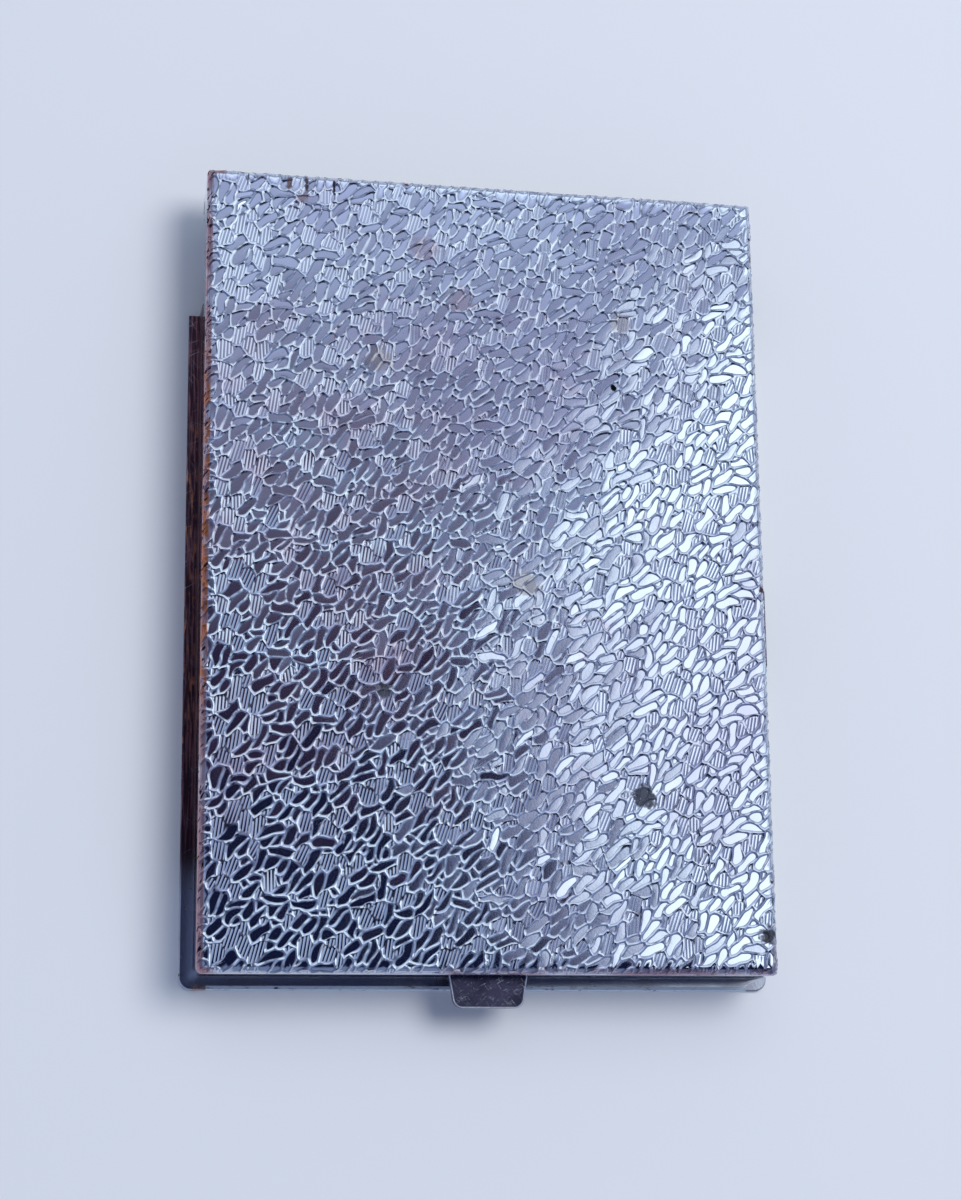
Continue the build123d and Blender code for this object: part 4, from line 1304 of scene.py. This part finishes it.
@dataclass
class TabRim:
    """The bright edge along the turned-up rim of the thumb tab, rubbed plate and painted highlight. Sizes are
    in millimetres.
    """

    radius: float = 0.09
    reach: float = 3.7
    slant: float = 0.625
    corner: float = 1.2
    corner_steps: int = 8

    def build(self, material: Material) -> None:
        """Makes the edge, which rides with the lever.

        Args:
            material: the rim's bright metal, rubbed and painted as a highlight.
        """
        low, high = box_of("release_lever")
        outer, front, height = high.x - self.radius, low.y + self.radius, high.z - self.radius / 2
        lean = math.atan2(self.slant, self.reach)
        turn = math.pi / 2 - lean
        inner = self.corner - self.radius
        middle = Vector((outer - self.slant - inner * math.tan(turn / 2), front + inner, height))
        half = [Vector((outer, front + self.reach, height))]
        for k in range(self.corner_steps + 1):
            angle = -lean - turn * k / self.corner_steps
            half.append(middle + inner * Vector((math.cos(angle), math.sin(angle), 0)))
        route = half + [Vector((-place.x, place.y, place.z)) for place in reversed(half)]
        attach(wire("tab_rim_edge", route, self.radius, material), "lever")


@dataclass
class HingeSpring:
    """One torsion spring round a hinge pin, wound on as the lid opens.

    The inner leg rests on the bracket and the outer leg presses up on the lid. Sizes are in millimetres, and
    angles are in degrees from +Y towards +Z.
    """

    side: int                        # -1 at the left, 1 at the right
    wire_radius: float = 0.25
    coil_radius: float = 1.35
    pitch: float = 1.0
    base_leg: float = 4.41
    lid_leg: float = 5.44
    start_angle: float = 315.0
    end_angle: float = 65.0
    whole_turns: int = 3
    steps_per_turn: int = 28

    def __post_init__(self) -> None:
        """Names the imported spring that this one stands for."""
        self.node = f"hinge_spring_{'right' if self.side > 0 else 'left'}"

    def route(self) -> list[Vector]:
        """Finds the wire's middle line, in millimetres.

        Returns:
            The leg's tip on the bracket, the points along the coil, and the leg's tip under the lid.
        """
        centre = Vector(joint_of("lid_hinge")["pos_m"]) / MM
        climb = math.atan2(self.pitch, math.tau * self.coil_radius)
        low, high = box_of(self.node)
        inner = min(abs(low.x), abs(high.x)) + self.wire_radius + self.base_leg * math.sin(climb)
        turns = self.whole_turns + ((self.end_angle - self.start_angle) % 360) / 360
        count = round(turns * self.steps_per_turn)
        coil = []
        for k in range(count + 1):
            angle = math.radians(self.start_angle) + math.tau * turns * k / count
            out = self.side * (inner + self.pitch * turns * k / count)
            across, up = self.coil_radius * math.cos(angle), self.coil_radius * math.sin(angle)
            coil.append(Vector((out, centre.y + across, centre.z + up)))

        def way(degrees: float) -> Vector:
            """Direction of the wire at an angle round the coil."""
            along, out, angle = math.cos(climb), self.side * math.sin(climb), math.radians(degrees)
            return Vector((out, -math.sin(angle) * along, math.cos(angle) * along))

        base_tip = coil[0] - self.base_leg * way(self.start_angle)
        return [base_tip, *coil, coil[-1] + self.lid_leg * way(self.end_angle)]

    def build(self, material: Material) -> None:
        """Makes the spring where it stands at rest, between the base and the lid, and hides the imported one.

        Args:
            material: the spring wire.
        """
        route = self.route()
        piece = wire(f"{self.node}_wire", route, self.wire_radius, material)
        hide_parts(self.node)
        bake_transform(piece)


# ---------------------------------------------------------------- printing
class Print:
    """Ink on one piece, collected as one mesh in millimetres."""

    ink_thickness = 0.006
    cap_share = 0.73      # a capital's height as a share of the font's size

    def __init__(self, origin: Triple, right: Triple, up: Triple) -> None:
        """Starts the print on a plane.

        Args:
            origin: the plane's own zero.
            right: the direction in which lines of text run.
            up: the direction from the foot of a letter to its head.
        """
        across, along = Vector(right), Vector(up)
        turn = Matrix((across, along, across.cross(along))).transposed().to_4x4()
        self.plane = Matrix.Translation(origin) @ turn
        self.mesh = bmesh.new()

    def write(self, words: str, cap_height: float, middle: Point, condense: float = 1.0) -> None:
        """Prints one line of text.

        Args:
            words: the text.
            cap_height: the height of its capitals.
            middle: the middle of the text on the plane.
            condense: its width as a share of the font's own.
        """
        text = bpy.data.curves.new("text", "FONT")
        text.body = words
        text.size = cap_height / self.cap_share
        text.align_x, text.align_y = "CENTER", "CENTER"
        text.extrude = self.ink_thickness / 2
        text.resolution_u = CURVE_STEPS
        letters = as_mesh(text, "text")
        shift = Matrix.Translation((*middle, self.ink_thickness / 2)) @ Matrix.Diagonal((condense, 1, 1, 1))
        letters.transform(self.plane @ shift)
        self.mesh.from_mesh(letters)
        bpy.data.meshes.remove(letters)

    def rule(self, start: Point, end: Point, width: float) -> None:
        """Draws a line that runs along the plane's X or Y.

        Args:
            start: one end.
            end: the other end.
            width: the line's width.
        """
        size = (max(abs(end[0] - start[0]), width), max(abs(end[1] - start[1]), width), self.ink_thickness)
        middle = ((start[0] + end[0]) / 2, (start[1] + end[1]) / 2, self.ink_thickness / 2)
        place = self.plane @ Matrix.Translation(middle) @ Matrix.Diagonal((*size, 1))
        bmesh.ops.create_cube(self.mesh, size=1.0, matrix=place)

    def place(self, name: str, material: Material, body: str) -> None:
        """Puts the print in the scene.

        Args:
            name: the piece's name.
            material: its ink.
            body: the body that carries it.
        """
        data = bpy.data.meshes.new(name)
        self.mesh.to_mesh(data)
        self.mesh.free()
        data.transform(Matrix.Scale(MM, 4))
        data.validate()
        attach(new_object(name, data, material), body)


@dataclass
class LeafPrinting:
    """Letters, ruled lines and column line on both sides of every index leaf. Sizes are in millimetres."""

    line_pitch: float = 6.0
    line_width: float = 0.14
    side_room: float = 2.0
    foot_room: float = 9.0
    head_room: float = 8.0
    column_share: float = 0.56
    cap_height: float = 3.2
    letter_inset: Point = (10.0, 4.0)

    def build(self, letter_ink: Material, rule_ink: Material) -> None:
        """Prints all leaves, each side so that it reads upright with the lid open.

        Args:
            letter_ink: the ink of the letters.
            rule_ink: the ink of the ruled lines.
        """
        bodies = frame["record"]["behaviour"]["bodies"]
        page_right = box_of("leaf_yz")[1].x      # the last leaf has no stepped strip beside its page
        for pair in LETTERS:
            leaf = f"leaf_{pair}"
            body = next(name for name, nodes in bodies.items() if leaf in nodes)
            low, high = box_of(leaf)
            left, right = low.x + self.side_room, page_right - self.side_room
            for side, up, z in (("top", 1, high.z), ("underside", -1, low.z)):
                plane = ((0, 0, z), (1, 0, 0), (0, up, 0))
                letters = Print(*plane)
                place = (page_right - self.letter_inset[0], up * (low.y + self.letter_inset[1]))
                letters.write(" ".join(pair.upper()), self.cap_height, place)
                letters.place(f"{leaf}_{side}_letters", letter_ink, body)
                rules = Print(*plane)
                first_room, last_room = (self.foot_room, self.head_room)[::up]
                first = min(up * low.y, up * high.y) + first_room
                count = math.floor((high.y - low.y - last_room - first_room) / self.line_pitch)
                last = first + count * self.line_pitch
                for k in range(count + 1):
                    y = first + k * self.line_pitch
                    rules.rule((left, y), (right, y), self.line_width)
                column = left + self.column_share * (right - left)
                rules.rule((column, first), (column, last), self.line_width)
                rules.place(f"{leaf}_{side}_rules", rule_ink, body)


@dataclass
class ScalePrinting:
    """Letter pairs and division lines on the strip beside the slide. Sizes are in millimetres."""

    cap_height: float = 1.15
    condense: float = 0.82
    division_length: float = 0.8
    division_width: float = 0.12

    def build(self, ink: Material) -> None:
        """Prints the strip, with one pair for each stop of the slide.

        Args:
            ink: the ink of the letters and lines.
        """
        low, high = box_of("letter_scale")
        start, end = joint_of("letter_slide")["range_m"]
        pitch = (end - start) / MM / (len(LETTERS) - 1)
        knob_low, knob_high = box_of("selector_knob")
        middle = (knob_low.y + knob_high.y) / 2
        reach = (high.z - low.z) / 2
        printed = Print((high.x, 0, (low.z + high.z) / 2), (0, 0, -1), (0, 1, 0))
        for number, pair in enumerate(LETTERS):
            y = middle + (len(LETTERS) // 2 - number) * pitch
            printed.write(pair.upper(), self.cap_height, (0, y), self.condense)
            edge = y - pitch / 2
            if edge > low.y:
                printed.rule((-reach, edge), (-reach + self.division_length, edge), self.division_width)
        printed.place("letter_scale_print", ink, "base")


# ---------------------------------------------------------------- studio
@dataclass
class Studio:
    """Floor, lights and camera. Sizes are in metres.

    Each light of the surround comes in where a part of the direction, along X, Y, Z or a way of its own, goes
    along the light's span.
    """

    floor_size: float = 3.0
    floor_colour: str = "#E4E5E8"
    floor_roughness: float = 0.85
    surround_strength: float = 1.56
    ceiling: str = "#0B1028"
    ceiling_span: Point = (0.02, -0.14)
    shade: str = "#2E2136"
    shade_span: Point = (0.10, 0.24)
    rear: str = "#B0BCD8"
    rear_span: Point = (0.18, 0.50)
    patch: str = "#EEFAFF"
    patch_way: Triple = (0.435, 0.185, 0.881)
    patch_span: Point = (0.246, 0.194)
    halo: str = "#646A8C"
    halo_span: Point = (0.276, 0.232)
    dim_rim: str = "#5E6984"
    bright_rim: str = "#D2DFE8"
    rim_way: Triple = (0.80, 0.60, 0.0)
    rim_turn: Point = (-0.45, 0.20)
    rim_span: Point = (0.88, 0.74)
    rim_end: Point = (0.62, 0.50)
    low_rim: str = "#8090AC"
    low_rim_span: Point = (0.18, 0.05)
    horizon: str = "#9CA4B6"
    horizon_span: Point = (0.50, 0.36)
    lamp_place: Triple = (0.36, 0.22, 0.80)
    lamp_size: float = 0.5
    lamp_power: float = 4.4
    camera_place: Triple = (-0.0589, -0.0699, 0.29215)
    camera_aim: Triple = (-0.00120, -0.00431, 0.00965)
    camera_roll: float = -0.63
    lens: float = 72.99
    sensor: float = 36.0

    def build(self) -> None:
        """Makes everything round the object."""
        self.floor()
        self.world()
        self.lamp()
        self.camera()

    def floor(self) -> None:
        """Lays a plain pale floor."""
        half = self.floor_size / 2
        corners = [(-half, -half, 0), (half, -half, 0), (half, half, 0), (-half, half, 0)]
        mesh = bpy.data.meshes.new("floor")
        mesh.from_pydata(corners, [], [(0, 1, 2, 3)])
        material = bpy.data.materials.new("matte_studio_board")
        material.use_nodes = True
        shader = material.node_tree.nodes["Principled BSDF"]
        shader.inputs["Base Color"].default_value = linear(self.floor_colour)
        shader.inputs["Roughness"].default_value = self.floor_roughness
        new_object("floor", mesh, material)

    def world(self) -> None:
        """Surrounds the object with the light that its chrome mirrors.

        Overhead, the dark ceiling goes over into a purple shade and a pale rear, with a white patch and its
        halo to the right. Round it runs a rim, bright to the right and rear and dim elsewhere, above a grey
        horizon.
        """
        world = bpy.data.worlds.new("studio")
        bpy.context.scene.world = world
        world.use_nodes = True
        tree = world.node_tree
        tree.nodes.clear()
        way = add_node(tree, "ShaderNodeTexCoord").outputs["Generated"]
        axes = add_node(tree, "ShaderNodeSeparateXYZ", {"Vector": way}).outputs
        inputs = {0: way, 1: self.patch_way}
        off_patch = add_node(tree, "ShaderNodeVectorMath", inputs, operation="DISTANCE").outputs["Value"]
        inputs = {0: way, 1: self.rim_way}
        turned = add_node(tree, "ShaderNodeVectorMath", inputs, operation="DOT_PRODUCT").outputs["Value"]

        def blend(value: Share, span: Point, first: Share | str, second: Share | str) -> Share:
            """Goes from one light to another while a value goes along a span.

            Args:
                value: the value, read from the direction.
                span: its values at the first light and at the second.
                first: the first light, or its colour.
                second: the second light, or its colour.

            Returns:
                The light between them.
            """
            inputs = {"Value": value, "From Min": span[0], "From Max": span[1]}
            share = add_node(tree, "ShaderNodeMapRange", inputs, interpolation_type="SMOOTHSTEP").outputs[0]
            first, second = (linear(light) if isinstance(light, str) else light for light in (first, second))
            inputs = {MIX_FACTOR: share, MIX_A: first, MIX_B: second}
            return add_node(tree, "ShaderNodeMix", inputs, data_type="RGBA").outputs[MIX_RESULT]

        overhead = blend(axes["Y"], self.shade_span, self.ceiling, self.shade)
        overhead = blend(axes["Y"], self.rear_span, overhead, self.rear)
        overhead = blend(off_patch, self.halo_span, overhead, self.halo)
        overhead = blend(off_patch, self.patch_span, overhead, self.patch)
        overhead = blend(turned, self.ceiling_span, overhead, self.dim_rim)
        bright = blend(axes["Y"], self.low_rim_span, self.bright_rim, self.low_rim)
        rim = blend(turned, self.rim_turn, self.dim_rim, bright)
        rim = blend(axes["Z"], self.rim_end, rim, self.dim_rim)
        rim = blend(axes["Z"], self.horizon_span, rim, self.horizon)
        light = blend(axes["Z"], self.rim_span, overhead, rim)
        inputs = {"Color": light, "Strength": self.surround_strength}
        background = add_node(tree, "ShaderNodeBackground", inputs).outputs[0]
        add_node(tree, "ShaderNodeOutputWorld", {"Surface": background})

    def lamp(self) -> None:
        """Hangs one large soft lamp behind to the right, which the chrome doesn't mirror."""
        light = bpy.data.lights.new("soft_lamp", "AREA")
        light.shape = "DISK"
        light.size = self.lamp_size
        light.energy = self.lamp_power
        lamp = bpy.data.objects.new("soft_lamp", light)
        lamp.location = self.lamp_place
        lamp.rotation_euler = Vector(self.lamp_place).to_track_quat("Z", "Y").to_euler()
        lamp.visible_glossy = False
        bpy.context.scene.collection.objects.link(lamp)

    def camera(self) -> None:
        """Looks down at the index from the front left, as the photograph does."""
        data = bpy.data.cameras.new("camera")
        data.sensor_fit = "VERTICAL"
        data.sensor_height = self.sensor
        data.lens = self.lens
        camera = bpy.data.objects.new("camera", data)
        place = Vector(self.camera_place)
        back = (place - Vector(self.camera_aim)).normalized()
        right = Vector((0, 1, 0)).cross(back).normalized()
        look = Matrix((right, back.cross(right), back)).transposed()
        turn = Matrix.Rotation(math.radians(self.camera_roll), 3, "Z")
        camera.matrix_world = Matrix.Translation(place) @ (look @ turn).to_4x4()
        bpy.context.scene.collection.objects.link(camera)
        bpy.context.scene.camera = camera


def dress() -> dict[str, Material]:
    """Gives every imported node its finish.

    Returns:
        The materials by the record's slots.
    """
    materials = {}
    for slot, finish in FINISHES.items():
        materials[slot] = finish.build()
        LOG.info("finish %s: %s", finish.name, finish.note)
    for part in frame["record"]["subparts"]:
        slots = frame["nodes"][part["node"]].data.materials
        slots.clear()
        slots.append(materials[part["material_slot"]])
        LOG.info("node %s wears %s", part["node"], part["material_slot"])
    return materials


def main() -> None:
    """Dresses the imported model, adds what only shows up close, and sets the studio round it."""
    logging.basicConfig(level=logging.INFO, format="%(message)s")
    bpy.context.scene.view_settings.view_transform = "Standard"
    materials = dress()
    Embossing().build(materials["embossed_chrome"])
    TabRim().build(RUBBED_AND_HIGHLIGHT_EDGE.build())
    for side in (-1, 1):
        HingeSpring(side).build(materials["spring_wire"])
    letter_ink = LETTER_INK.build()
    LeafPrinting().build(letter_ink, RULE_INK.build())
    ScalePrinting().build(letter_ink)
    Studio().build()


if __name__ == "__main__":
    main()
